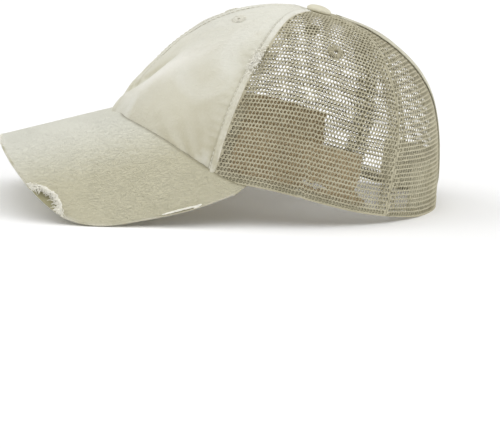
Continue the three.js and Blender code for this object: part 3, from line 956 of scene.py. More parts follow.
@dataclass(frozen=True)
class PlainFinish:
    """Woven cloth, tape or board of one colour, with threads both ways and stains."""

    name: str
    colour: Colour
    shade: Colour
    thread: float
    depth: float
    roughness: float = 0.9
    sheen: float = 0.15
    twist: float = 0.0

    def build(self) -> bpy.types.Material:
        """Makes the material."""
        board = Board(self.name, roughness=self.roughness, sheen=self.sheen, specular=0.25)
        across, along = board.weave()
        where = board.place()
        clouds = board.noise(where, 0.09, 4.0, 0.5).held(0.3, 0.72)
        colour = board.mix(clouds, self.shade, self.colour)
        turn = 2 * math.pi / self.thread
        if self.twist:
            threads = (across * turn + along * (2 * math.pi * self.twist)).wave() * 0.5 + 0.5
        else:
            threads = ((across * turn).wave() * (along * turn).wave()) * 0.5 + 0.5
        colour = board.mix(threads * 0.22, colour, self.shade)
        colour = board.mix(board.worn(), colour, sheer(255, 253, 243))
        fuzz = board.noise(where, 1.4, 4.0)
        return board.finish(colour, board.bump(threads * 0.7 + fuzz * 0.5, self.depth))


@dataclass
class Wardrobe:
    """All the finishes of the cap."""

    def __post_init__(self) -> None:
        """Makes the materials."""
        self.twill = TwillFinish().build()
        self.brim_twill = TwillFinish(
            name="puckered_twill",
            colour=sheer(199, 194, 167),
            shade=sheer(195, 190, 162),
            # The brim's painted highlight comes in only on faces that look well up.
            top_light_and_fade=sheer(227, 227, 214),
            top_light_from=0.6,
            top_light_to=0.98,
            blotch=0.0,
            pucker=0.27,
        ).build()
        self.net = NetFinish().build()
        self.lining = PlainFinish(
            "sweatband_cloth", sheer(214, 196, 162), sheer(192, 172, 136), 0.7, 0.1
        ).build()
        self.strip = PlainFinish(
            "strip_cloth", sheer(228, 224, 202), sheer(212, 207, 184), 0.8, 0.12
        ).build()
        self.tape = PlainFinish(
            "slit_tape", sheer(216, 213, 194), sheer(200, 196, 174), 0.9, 0.12
        ).build()
        self.board = PlainFinish(
            "brim_board", sheer(178, 174, 140), sheer(158, 152, 118), 3.0, 0.05, 0.75, 0.0
        ).build()
        self.thread = PlainFinish(
            "sewing_thread", sheer(236, 234, 222), sheer(224, 221, 206), 0.7, 0.06, 0.7, 0.1, 1.0
        ).build()
        self.net_thread = PlainFinish(
            "beige_thread", sheer(196, 190, 165), sheer(172, 165, 138), 0.7, 0.06, 0.7, 0.1, 1.0
        ).build()
        self.fray = PlainFinish(
            "frayed_cotton", sheer(240, 238, 226), sheer(226, 222, 206), 0.5, 0.05, 0.95, 0.8, 1.0
        ).build()
        # Olive-grey, darker than the net: partly the hem's own tone, partly painted shade of the rolled
        # edge.
        self.hem = PlainFinish(
            "rolled_hem", sheer(158, 154, 132), sheer(132, 128, 104), 0.8, 0.1
        ).build()


# Crown

class EdgeKind(Enum):
    """How a panel's edge is finished."""

    SEAM = "seam"
    SLIT = "slit"


@dataclass(frozen=True)
class SeamBend:
    """A stretch of a seam over which it turns aside by some degrees."""

    start: float
    end: float
    turn: float


FRONT_BENDS = (SeamBend(85, 140, -7),)
BACK_BENDS = (SeamBend(0, 75, 3), SeamBend(80, 150, 17))
CENTRE_SQUEEZE = 1.25  # how much narrower the centre front seam's lap is than the side seams'


def seam_angle(angle: float, bends: Sequence[SeamBend], climb: Number) -> Array:
    """Angle of a seam at a climb."""
    return angle + sum(bend.turn * ease(climb, bend.start, bend.end) for bend in bends)


@dataclass(frozen=True)
class PanelEdge:
    """One upright edge of a panel.

    Attributes:
        angle: Where the edge is.
        kind: Whether it is sewn to the next panel or bounds the slit.
        strip: Width of the doubled net beside it.
        raised: How far the lap stands out, as a share of the usual rise.
        bends: Places where the edge turns aside.
    """

    angle: float
    kind: EdgeKind
    strip: float = 0.0
    raised: float = 0.0
    bends: tuple[SeamBend, ...] = ()

    def at(self, climb: Number) -> Array:
        """Angle of the edge at a climb."""
        return seam_angle(self.angle, self.bends, climb)


@dataclass
class Slit:
    """The ponytail slit up the centre back, and the folded tapes over its two edges."""

    head: float = 143.0
    width: float = 21.0
    climb: float = 92.0
    reach: float = 34.0
    tape_wall: float = 0.8
    tape_width: float = 6.0
    gap: float = 0.3
    seam_half: float = 0.15
    tape_foot: float = 7.5
    tape_flat: float = 16.0
    panel_wall: float = 1.2

    def half(self, climb: Number) -> Array:
        """Half the width of the slit between the panels at a climb."""
        climb = np.asarray(climb, float)
        gape = 1 - np.minimum(np.abs(climb - self.climb) / self.reach, 1) ** 2
        open_half = lerp(self.gap / 2, self.width / 2, gape) + self.tape_wall + self.gap
        return np.where(climb >= self.head, self.seam_half, open_half)

    def tape(self, form: CapForm, side: int) -> Cloth:
        """One folded tape.

        Args:
            form: The cap's shape.
            side: 1 for the wearer's left and -1 for the right.

        Returns:
            The tape.
        """
        climbs = np.arange(self.tape_foot, self.head - 1, 1.2)
        out = -self.gap - self.tape_wall
        back = self.panel_wall + self.gap + self.tape_wall
        middle = (out + back) / 2
        deep = (back - out) / 2
        turn = np.radians(np.linspace(-90, 90, 9))
        fold_out = np.stack([deep * 0.45 * (1 - np.cos(turn)), middle + deep * np.sin(turn)], axis=1)
        end, bulge = self.tape_width, self.tape_width + 0.25
        under = -self.gap
        outer_leg = [(end, out), (3.0, out - 0.06)]
        inner_leg = [(3.0, back + 0.06), (end, back), (bulge, back - 0.4), (end, under + 1.8)]
        inside = [(1.6, self.panel_wall + self.gap), (1.0, 0.9), (1.0, 0.3), (1.6, under)]
        outer_end = [(end, under), (bulge, out + 0.4)]
        section = np.array([*outer_leg, *fold_out, *inner_leg, *inside, *outer_end])
        start = self.half(climbs) - self.tape_wall - self.gap
        ripple = 0.18 * np.sin(climbs * 0.9) + 0.12 * np.sin(climbs * 2.3 + side)
        width = 1 / form.width_at(180.0, climbs)
        aside = start[:, None] + section[None, :, 0] + ripple[:, None] * ease(section[:, 0], 1, 6)
        angle = side * (180 - aside * width[:, None])
        tucked = 1 - 0.55 * (1 - ease(climbs, self.tape_foot, self.tape_foot + 12))[:, None]
        points = form.crown(angle, climbs[:, None], middle + (section[:, 1] - middle) * tucked)
        run = np.linspace(0, self.tape_flat, len(section))
        return tube(points, stacked(run, climbs[:, None]), flip=side < 0)


@dataclass(frozen=True)
class EyeletPlace:
    """Where an eyelet is: its name, angle and the share of the way up the section."""

    name: str
    angle: float
    climb: float

    def distance(self, form: CapForm, angles: Array, climbs: Array) -> Array:
        """Distance of places on the crown from the eyelet's middle."""
        middle = self.climb * form.length_at(self.angle)
        aside = (angles - self.angle) * form.width_at(self.angle, middle)
        return np.hypot(aside, climbs - middle)


EYELETS = (
    EyeletPlace("eyelet_front_left", 27, 0.64),
    EyeletPlace("eyelet_front_right", -27, 0.64),
    EyeletPlace("eyelet_side_left", 97, 0.65),
    EyeletPlace("eyelet_side_right", -97, 0.65),
)


def eyelet(name: str) -> EyeletPlace:
    """The place of the eyelet with a name."""
    return next(place for place in EYELETS if place.name == name)


@dataclass(frozen=True)
class Crease:
    """The sharp fold that rises from the brim's middle, and the bulge that it starts from."""

    climb: float = 23.0
    angle: float = 2.5
    slope: float = 0.49
    ridge: float = 0.5
    peak: float = 3.4
    peak_climb: float = 12.0
    valley: float = 1.4

    def aside(self, angles: Array, climbs: Array, widths: Array) -> Array:
        """Distance from the fold's line, above 0 behind it."""
        return (angles - self.angle - self.slope * (climbs - self.climb)) * widths

    def pale_patch(self, angles: Array, climbs: Array, widths: Array) -> Array:
        """How much paler the cloth is in a broad patch behind the fold."""
        behind = self.aside(angles, climbs, widths)
        return 0.75 * hill(behind - 9, 8) * hill(climbs - 44, 24)

    def height(self, angles: Array, climbs: Array, widths: Array) -> Array:
        """Height of the fold.

        Args:
            angles: Angles of the places, above 0 on the wearer's left.
            climbs: Climbs of the places.
            widths: Millimetres of cloth for each degree there.

        Returns:
            Heights outwards.
        """
        aside = self.aside(angles, climbs, widths)
        fade = 1 - ease(climbs, 42, 66)
        ridge = (self.ridge + self.peak * hill(climbs - self.peak_climb, 20)) * hill(aside - 5.0, 8.0)
        beyond = 0.62 * self.peak * hill(climbs - self.peak_climb, 24) * hill(aside + 9, 9)
        valley = self.valley * hill(aside + 2.0, 2.4) * ease(climbs, 12, 24)
        return (ridge + beyond - valley) * fade


@dataclass(frozen=True)
class SeamTear:
    """The worn-through stretch of the left front seam, and its tuft of bare white threads."""

    climb: float = 76.0
    half: float = 7.5
    strands: int = 190

    def share(self, climbs: Array) -> Array:
        """How torn the seam is at a climb."""
        return hill(climbs - self.climb, self.half)

    def tuft(self, form: CapForm, seam: float) -> Cloth:
        """The bare threads.

        Args:
            form: The cap's shape.
            seam: Angle of the seam.

        Returns:
            The threads.
        """
        random = np.random.default_rng(61)
        count = self.strands
        each = (count, 1)
        along = np.linspace(0, 1, 7)[None, :]
        climb = self.climb + random.normal(0, 0.52 * self.half, count)
        aside = random.uniform(-0.9, 2.6, count)
        aim = np.radians(random.normal(235, 38, count))
        length = random.uniform(1.8, 4.6, count)
        bend = random.normal(0, 0.5, count)
        ahead = length[:, None] * along
        sway = bend[:, None] * np.sin(along * math.pi)
        u = -aside[:, None] + ahead * np.cos(aim)[:, None] - sway * np.sin(aim)[:, None]
        v = climb[:, None] + ahead * np.sin(aim)[:, None] + sway * np.cos(aim)[:, None]
        lift = 0.5 + random.uniform(0.2, 2.0, each) * np.sin(along * 2.6)
        angle = seam + u / form.width_at(seam, v)
        radii = random.uniform(0.18, 0.32, each) * (1 - 0.6 * along)
        return strands(form.crown(angle, v, -lift), radii, worn=random.uniform(0.1, 1, count))


@dataclass
class TwillPanel:
    """A front panel of washed twill, with folded and stitched edges, soft creases and crinkles."""

    form: CapForm
    side: int
    seam_angle: float = 62.0
    wall: float = 1.2
    gap_half: float = 0.15
    lap: float = 3.9
    lap_rise: float = 0.75
    lap_columns: int = 12
    columns: int = 86
    rows: int = 136
    top_hole: float = 3.0
    eyelet_hole: float = 2.1
    centre_squeeze: float = CENTRE_SQUEEZE
    crease: Crease = field(default_factory=Crease)
    tear: SeamTear = field(default_factory=SeamTear)

    def grid(self) -> tuple[Array, Array, Array]:
        """Angles, climbs and places on the flat cloth all over the panel."""
        shares = np.linspace(0, 1, self.rows)[:, None]
        middle = self.seam_angle / 2
        climbs = shares * (self.form.length_at(middle) - self.top_hole)
        seam_climbs = shares * (self.form.length_at(self.seam_angle) - self.top_hole)
        span = seam_angle(self.seam_angle, FRONT_BENDS, seam_climbs)
        width = self.form.width_at(middle, climbs) * span
        lap = np.minimum(self.lap + 1.4, width / 4)
        steps = np.linspace(0, 1, self.lap_columns)[None, :]
        inner = np.linspace(0, 1, self.columns)[None, 1:-1]
        stations = np.concatenate(
            [
                self.gap_half + steps * lap,
                self.gap_half + lap + inner * (width - 2 * (self.gap_half + lap)),
                width - self.gap_half - steps[:, ::-1] * lap,
            ],
            axis=1,
        )
        angles = stations / width * span
        lengths = self.form.length_at(angles) - self.top_hole
        return angles, shares * lengths, stations

    def relief(self, angles: Array, climbs: Array, from_seam: Array, from_middle: Array) -> Array:
        """Height of the crinkles, creases and stitched laps over the plain crown.

        Args:
            angles: Angles of the grid.
            climbs: Climbs of the grid.
            from_seam: Distance from the side seam.
            from_middle: Distance from the centre front seam.

        Returns:
            Heights outwards.
        """
        flat = stacked(angles * 1.35, climbs, 40.0 * self.side)
        top = ease(self.form.length_at(angles) - climbs, 7, 18)
        soft = 0.6 * Rumple(26, 3).at(flat) + 0.34 * Rumple(9, 4, 2).at(flat, (1, 1.5, 1))
        focus = np.hypot(from_seam + 4, climbs + 12)
        fan = np.arctan2(climbs + 12, from_seam + 4)
        creases = 0.32 * np.sin(fan * 24 + 1.2 * Rumple(14, 5).at(flat)) * hill(focus - 34, 20)
        torn = 0.85 * self.tear.share(climbs) if self.side > 0 else 0.0
        seam = self.welt(from_seam, climbs) * (1 - torn)
        centre = 0.35 * self.welt(from_middle * self.centre_squeeze, climbs + 2.2)
        folds = self.crease.height(self.side * angles, climbs, self.form.width_at(angles, climbs))
        pucker = 0.10 * np.sin(climbs * 1.15 + 2 * Rumple(11, 6).at(flat)) * hill(from_seam - 7, 4)
        return (soft + creases + pucker + folds) * top * ease(climbs, 0, 8) + (seam + centre) * top

    def welt(self, distance: Array, climbs: Array) -> Array:
        """Height of a folded edge that is stitched down beside a seam."""
        plateau = self.lap_rise * (1 - ease(distance, self.lap - 0.5, self.lap + 0.3))
        rounded = plateau - 0.4 * hill(distance, 0.8)
        groove = 0.4 * hill(distance - self.lap, 0.6)
        return rounded - groove + 0.1 * np.sin(climbs * 1.9) * hill(distance - 2.2, 1.8)

    def build(self) -> Cloth:
        """Makes the panel."""
        angles, climbs, stations = self.grid()
        seam = seam_angle(self.seam_angle, FRONT_BENDS, climbs)
        from_seam = (seam - angles) * self.form.width_at(seam, climbs)
        from_middle = angles * self.form.width_at(0.0, climbs)
        height = self.relief(angles, climbs, from_seam, from_middle)
        outer = self.form.crown(self.side * angles, climbs, -height)
        inner = self.form.crown(self.side * angles, climbs, self.wall - np.minimum(height, 0) * 0.8)
        away = eyelet("eyelet_front_left").distance(self.form, angles, climbs)
        centre = (away[:-1, :-1] + away[1:, :-1] + away[:-1, 1:] + away[1:, 1:]) / 4
        rub = 0.55 * hill(from_seam, 1.0) + 0.3 * hill(from_seam - self.lap + 1.6, 1.2)
        rub = rub * (0.6 + 0.6 * Rumple(6, 8, 2).at(outer))
        # Painted shade in the stitched grooves beside the side seam and, fainter, beside the centre seam.
        groove_shade = 0.4 * hill(from_seam - self.lap, 0.6)
        groove_shade = groove_shade + 0.1 * hill(from_middle * self.centre_squeeze - self.lap, 0.6)
        # A broad paler patch behind the front fold.
        pale_patch = self.crease.pale_patch(self.side * angles, climbs, self.form.width_at(angles, climbs))
        worn = np.clip(rub + pale_patch, 0, 1) - groove_shade
        if self.side > 0:
            # Painted shade along the torn stretch of the seam, under and round the tuft.
            worn = lerp(worn, -0.35, self.tear.share(climbs) * (1 - ease(from_seam, 2.8, 4.4)))
        grids = (outer, inner, stacked(self.side * stations, climbs), worn, centre > self.eyelet_hole)
        if self.side < 0:
            grids = tuple(grid[:, ::-1] for grid in grids)
        return grid_wall(*grids)


@dataclass
class NetCloth:
    """Coarse knitted net: staggered rows of holes taller than they are wide.

    Attributes:
        across: Spacing of the holes along a row.
        along: Spacing of the rows.
        holes: Half width and half height of the holes in the odd and even rows.
        thick: Thickness of the yarn.
        lean: Slant of the holes.
        inner_aside: How far the inner layer is shifted along a row, as a share of a hole.
        inner_down: How far the inner layer is shifted down, as a share of a row.
        inner_depth: How far the inner layer lies under the outer one.
        uneven: Scatter of the knots across and along, and of the size of the holes.
    """

    across: float = 2.1
    along: float = 2.68
    holes: tuple[tuple[float, float], tuple[float, float]] = ((0.84, 1.14), (0.77, 0.98))
    thick: float = 0.6
    lean: float = 0.16
    inner_aside: float = 0.45
    inner_down: float = 0.42
    inner_depth: float = 0.74
    uneven: tuple[float, float, float] = (0.045, 0.05, 0.06)


@dataclass(frozen=True)
class NetCells:
    """The cells of one layer of net.

    Attributes:
        row: Row number of each cell.
        column: Column number of each cell.
        across: Distance of each cell from the panel's centre line.
        along: Distance of each cell up the centre line.
        tight: Which cells have no hole.
    """

    row: Array
    column: Array
    across: Array
    along: Array
    tight: Array


COMPASS = np.array([(1, 0), (1, 1), (0, 1), (-1, 1), (-1, 0), (-1, -1), (0, -1), (1, -1)])
HOLE_RING = np.array(
    [(1, 0), (0.74, 0.78), (0, 1), (-0.74, 0.78), (-1, 0), (-0.74, -0.78), (0, -1), (0.74, -0.78)]
)
KEY_SHIFT = 500  # keeps the numbers of the knots above 0
KEY_SPAN = 4000  # more than the number of knots along a panel


@dataclass
class NetPanel:
    """A side or back panel of net, with the cloth doubled beside its seams and along its hem.

    Attributes:
        form: The cap's shape.
        name: Name of the panel.
        side: 1 for the wearer's left and -1 for the right.
        first: The edge nearer the front.
        last: The edge nearer the back.
        slit: The slit that a back panel's last edge follows.
        net: The cloth.
    """

    form: CapForm
    name: str
    side: int
    first: PanelEdge
    last: PanelEdge
    slit: Slit
    net: NetCloth = field(default_factory=NetCloth)
    gap_half: float = 0.15
    hem_bar: float = 0.8
    lap: float = 5.0
    lap_rise: float = 0.8
    top_hole: float = 3.0
    hole_clear: float = 2.4
    ring_clear: float = 4.0
    tight_top: float = 9.0
    cloth_half: float = 75.0
    cloth_over: float = 6.0

    @property
    def middle(self) -> float:
        """Angle of the panel's centre line."""
        return (self.first.angle + self.last.angle) / 2

    def drape(self, across: Array, along: Array) -> tuple[Array, Array]:
        """Lays flat cloth on the crown with its rows straight.

        Args:
            across: Distance from the panel's centre line.
            along: Distance up the centre line.

        Returns:
            Angle and climb of each place.
        """
        top = float(self.form.length_at(self.middle))
        climbs = np.linspace(0, top, 200)
        widths = self.form.width_at(self.middle, climbs) * 180 / math.pi
        bends = np.maximum(-np.gradient(widths, climbs), 0) / np.maximum(widths, 2.0)
        climb = np.array(along, float)
        for _ in range(12):
            bend = np.interp(climb, climbs, bends)
            target = np.minimum(along - bend * across**2 / 2, top)
            climb = lerp(climb, target, 0.6)
        bend = np.interp(climb, climbs, bends)
        run = across * (1 + bend**2 * across**2 / 6)
        angle = np.full_like(climb, self.middle)
        for _ in range(6):
            halfway = (self.middle + angle) / 2
            angle = self.middle + run / np.maximum(self.form.width_at(halfway, climb), 0.02)
            angle = np.clip(angle, self.first.angle - 20, self.last.angle + 20)
        scale = self.form.length_at(angle) / top
        return angle, np.maximum(climb * scale, -4)

    def limits(self, climb: Array) -> tuple[Array, Array]:
        """Angles of the panel's two edges at a climb."""
        low = self.first.at(climb)
        high = self.last.at(climb)
        half = self.slit.half(climb) if self.last.kind is EdgeKind.SLIT else self.gap_half
        low = low + self.gap_half / self.form.width_at(low, climb)
        return low, high - half / self.form.width_at(high, climb)

    def edge_distance(self, angle: Array, climb: Array) -> tuple[Array, Array]:
        """Distances from the panel's two edges."""
        low, high = self.limits(climb)
        width = self.form.width_at(angle, climb)
        return (angle - low) * width, (high - angle) * width

    def layer(self, doubled: bool) -> Cloth:
        """One layer of net.

        Args:
            doubled: Whether it is the inner layer, which lies only beside the seams and in the hem.

        Returns:
            The layer.
        """
        net = self.net
        w, h = net.across, net.along
        height = float(self.form.length_at(self.middle)) + self.cloth_over
        side_columns = int(self.cloth_half / w) + 1
        numbers = np.arange(int(height / h) + 1), np.arange(-side_columns, side_columns + 1)
        row, column = (grid.ravel() for grid in np.meshgrid(*numbers, indexing="ij"))
        shift = net.inner_aside if doubled else 0.0
        across = (column + 0.5 * (row % 2) + shift) * w
        along = (row + 0.5 - net.inner_down * doubled) * h + self.hem_bar
        angle, climb = self.drape(across, along)
        first, last = self.edge_distance(angle, climb)
        top = self.form.length_at(angle) - climb
        inside = (first > 0.02 * w) & (last > 0.02 * w) & (climb > 0.1) & (top > self.top_hole)
        if doubled:
            in_hem = climb < self.form.hem_height
            inside &= (first < self.first.strip) | (last < self.last.strip) | in_hem
        away = eyelet("eyelet_side_left").distance(self.form, angle, climb)
        inside &= away > self.hole_clear
        tight = (np.minimum(first, last) < 0.27 * w) | (climb < 0.4 * h) | (away < self.ring_clear)
        tight |= top < self.tight_top
        cells = NetCells(*(values[inside] for values in (row, column, across, along, tight)))
        return self.knit(cells, doubled)

    def knit(self, cells: NetCells, doubled: bool) -> Cloth:
        """Makes the yarn round every cell.

        Args:
            cells: The cells.
            doubled: Whether it is the inner layer.

        Returns:
            The yarn.
        """
        net = self.net
        w, h = net.across, net.along
        odd = cells.row % 2
        half_steps = np.stack([2 * cells.column + odd, 2 * cells.row], axis=1)
        keys = half_steps[:, None, :] + COMPASS + KEY_SHIFT
        unique, loops = np.unique((keys[..., 0] * KEY_SPAN + keys[..., 1]).ravel(), return_inverse=True)
        loops = loops.reshape(-1, len(COMPASS))
        start_x = cells.across[0] - (cells.column[0] + 0.5 * odd[0]) * w
        start_y = cells.along[0] - cells.row[0] * h
        random = np.random.default_rng(hash_name(self.name) + doubled)
        knot_x = (unique // KEY_SPAN - KEY_SHIFT) * w / 2 + start_x
        knot_y = (unique % KEY_SPAN - KEY_SHIFT) * h / 2 + start_y
        knot_x = knot_x + random.normal(0, net.uneven[0], len(unique))
        knot_y = knot_y + random.normal(0, net.uneven[1], len(unique))
        knots = stacked(knot_x, knot_y)

        sizes = np.array(net.holes)[odd]
        hole = HOLE_RING * sizes[:, None, :] * random.normal(1, net.uneven[2], (len(loops), 1, 1))
        hole[..., 0] += net.lean * hole[..., 1]
        centre = stacked(cells.across, cells.along)
        rim = centre[:, None] + hole
        shoulder = lerp(rim, knots[loops], 0.42)
        half = net.thick / 2
        on_bar = unique % KEY_SPAN % 2
        bulge = half * np.where(on_bar == 1, 1.12, 0.9)
        is_open = ~cells.tight
        rings = [
            (knots, -bulge),
            (knots, bulge),
            (shoulder[is_open], -half * 0.78),
            (rim[is_open], 0.0),
            (shoulder[is_open], half * 0.78),
            (centre[cells.tight], -half * 0.8),
            (centre[cells.tight], half * 0.8),
        ]
        flats = [places.reshape(-1, 2) for places, _ in rings]
        depths = [np.broadcast_to(depth, len(flat)) for flat, (_, depth) in zip(flats, rings)]
        starts = np.cumsum([0] + [len(flat) for flat in flats])
        flat = np.concatenate(flats)
        edges = border_edges(loops)
        on_border = np.zeros(len(flat), bool)
        for start in starts[:2]:
            on_border[np.unique(edges) + start] = True
        depth = np.concatenate(depths) + half + 0.05 + net.inner_depth * doubled
        points = self.settle(flat, depth, on_border)
        faces = self.yarn_faces(loops, is_open, starts)
        a, b = edges[:, 0], edges[:, 1]
        faces.append(np.stack([b, a, a + len(unique), b + len(unique)], axis=1))
        if self.side < 0:
            faces = [group[:, ::-1] for group in faces]
        return Cloth(points, faces, flat, np.zeros(len(flat)))

    def settle(self, flat: Array, depth: Array, on_border: Array) -> Array:
        """Lays the yarn on the crown, with its border along the panel's edges.

        Args:
            flat: Places on the flat cloth.
            depth: Distance of each place inwards.
            on_border: Which places lie on the cloth's border.

        Returns:
            Points in the rim's frame.
        """
        w, h = self.net.across, self.net.along
        hem = self.form.hem_height
        angle, climb = self.drape(flat[:, 0], flat[:, 1])
        low, high = self.limits(climb)
        first, last = self.edge_distance(angle, climb)
        angle = np.where(on_border & (np.abs(first) < 0.8 * w), low, angle)
        angle = np.where(on_border & (np.abs(last) < 0.8 * w), high, angle)
        inset = np.where(on_border, 0, 0.3) / self.form.width_at(angle, climb)
        angle = np.clip(angle, low + inset, high - inset)
        climb = np.where(on_border & (climb < 0.7 * h + self.hem_bar), 0, np.maximum(climb, 0.4))
        first, last = self.edge_distance(angle, climb)
        raised = [
            (1 - ease(first, self.lap - 0.6, self.lap + 0.4)) * self.first.raised,
            (1 - ease(last, self.lap - 0.6, self.lap + 0.4)) * self.last.raised,
            0.4 * (1 - ease(climb, hem - 1, hem + 1)),
        ]
        rise = self.lap_rise * np.max(raised, axis=0)
        rise = rise * ease(self.form.length_at(angle) - climb, 8, 16)
        return self.form.crown(self.side * angle, climb, depth - rise)

    @staticmethod
    def yarn_faces(loops: Array, is_open: Array, starts: Array) -> list[Array]:
        """Faces of the yarn round the holes, and of the cells without a hole.

        Args:
            loops: Knots round each cell.
            is_open: Which cells have a hole.
            starts: Number of the first point of each group of points.

        Returns:
            Groups of faces.
        """
        around = loops.shape[1]
        inner_knots, outer_shoulder, rim, inner_shoulder, outer_heart, inner_heart = starts[1:-1]
        knots = loops[is_open]
        index = np.arange(knots.size).reshape(-1, around)
        rings = [knots, *(index + at for at in (outer_shoulder, rim, inner_shoulder)), knots + inner_knots]
        faces = []
        for outer, inner in zip(rings[:-1], rings[1:]):
            quads = np.stack([outer, np.roll(outer, -1, 1), np.roll(inner, -1, 1), inner], axis=-1)
            faces.append(quads.reshape(-1, 4))
        shut = loops[~is_open]
        following = np.roll(shut, -1, 1)
        heart = np.repeat(np.arange(len(shut))[:, None], around, axis=1)
        outside = np.stack([shut, following, heart + outer_heart], axis=-1)
        inside = np.stack([following + inner_knots, shut + inner_knots, heart + inner_heart], axis=-1)
        return faces + [outside.reshape(-1, 3), inside.reshape(-1, 3)]

    def build(self) -> Cloth:
        """Makes the panel."""
        return join([self.layer(False), self.layer(True)])


def hash_name(name: str) -> int:
    """A small number that is the same for a name at every run."""
    return sum((i + 1) * ord(letter) for i, letter in enumerate(name))


@dataclass
class Stitching:
    """Rows of single stitches along lines on the crown."""

    form: CapForm
    length: float = 2.3
    gap: float = 0.75
    radius: float = 0.26

    def along(self, line: Callable[[Array], tuple[Array, Array, Array]], run: float) -> Cloth:
        """Sews one row.

        Args:
            line: Gives angle, climb and inset at distances along the row.
            run: Length of the row.

        Returns:
            The stitches.
        """
        starts = np.arange(0.4, run - self.length, self.length + self.gap)
        steps = np.linspace(0, 1, 7)
        distance = starts[:, None] + steps[None] * self.length
        angle, climb, inset = line(distance)
        arch = np.sin(steps * math.pi)
        paths = self.form.crown(angle, climb, inset + 0.16 - 0.3 * arch[None])
        radii = self.radius * np.array([0.55, 0.9, 1, 1, 1, 0.9, 0.55])
        return strands(paths, np.broadcast_to(radii, distance.shape), sides=6)


@dataclass(frozen=True)
class SewnEyelet:
    """A ring of thread wrapped through the cloth round an eyelet's hole.

    Attributes:
        hole: Radius of the hole.
        rim: Radius of the ring.
        top: Height of the ring over the cloth.
        back: Height of its lower side, inside the crown.
        sink: How far the whole ring is set in.
        square: Power that squares the ring's section, 1 for a round one.
    """

    hole: float
    rim: float = 4.35
    top: float = 0.62
    back: float = -1.75
    sink: float = 0.0
    square: float = 0.55
    wraps: int = 34
    corners: int = 14

    def thread(self, place: tuple[Array, Array, Array, Array], seed: int) -> Cloth:
        """Wraps the thread.

        Args:
            place: The ring's middle, with its directions round, up and out.
            seed: Number that picks the unevenness.

        Returns:
            The thread.
        """
        here, across, up, out = place
        each = (self.wraps, 1)
        around = np.radians(np.linspace(0, 360, self.corners, endpoint=False))
        height = (self.top + self.back) / 2
        height = height + (self.top - self.back) / 2 * boxy(np.sin(around), self.square) - self.sink
        radial = (self.rim + self.hole) / 2
        radial = radial + (self.rim - self.hole) / 2 * boxy(np.cos(around), self.square)
        random = np.random.default_rng(seed)
        reach = radial + random.normal(0, 0.14, each) * (radial > 3)
        spin = np.arange(self.wraps)[:, None] / self.wraps * 2 * math.pi + random.normal(0, 0.03, each)
        paths = (
            here
            + across * (reach * np.cos(spin))[..., None]
            + up * (reach * np.sin(spin))[..., None]
            + out * height[:, None]
        )
        thickness = np.broadcast_to(0.2 + 0.1 * ease(radial, 1.5, 4), reach.shape)
        return strands(paths, thickness, sides=6, closed=True)


@dataclass(frozen=True)
class TopButton:
    """The covered button: a dome of gathered cloth on its shank."""

    radius: float = 7.4
    height: float = 3.8
    seat: float = -0.1
    rim: float = 1.0
    tuck: float = 0.6
    shank: float = 2.0
    shank_length: float = 2.4
    segments: int = 72
    gathers: int = 18
    gather_depth: float = 0.07

    def cloth(self, form: CapForm) -> Cloth:
        """Makes the button on top of the cap."""
        radius, seat = self.radius, self.seat
        tucked = radius - self.tuck
        profile = [(0.01, -self.shank_length), (self.shank, -self.shank_length), (self.shank, seat)]
        profile += [(tucked - 1.4, seat), (tucked, seat + 0.05), (radius - 0.15, seat + 0.4)]
        dome = np.radians(np.linspace(0, 88, 12))
        rise = self.height - self.rim
        profile += [(radius * np.cos(t), seat + self.rim + rise * np.sin(t)) for t in dome]
        reach, height = np.array(profile).T[..., None]
        turn = np.arange(self.segments) / self.segments * 2 * math.pi
        gather = self.gather_depth * np.sin(turn * self.gathers) * ease(reach, radius * 0.55, radius)
        reach = reach * (1 + 0.14 * gather)
        points = stacked(reach * np.cos(turn), reach * np.sin(turn), height + 0.4 * gather)
        points[..., 2] += 0.05 * Rumple(2.2, 21, 2).at(points)
        lean = math.radians(form.top_tilt)
        y = points[..., 1] * math.cos(lean) + points[..., 2] * math.sin(lean)
        z = points[..., 2] * math.cos(lean) - points[..., 1] * math.sin(lean)
        return tube(stacked(points[..., 0], y, z + form.height), points[..., :2])


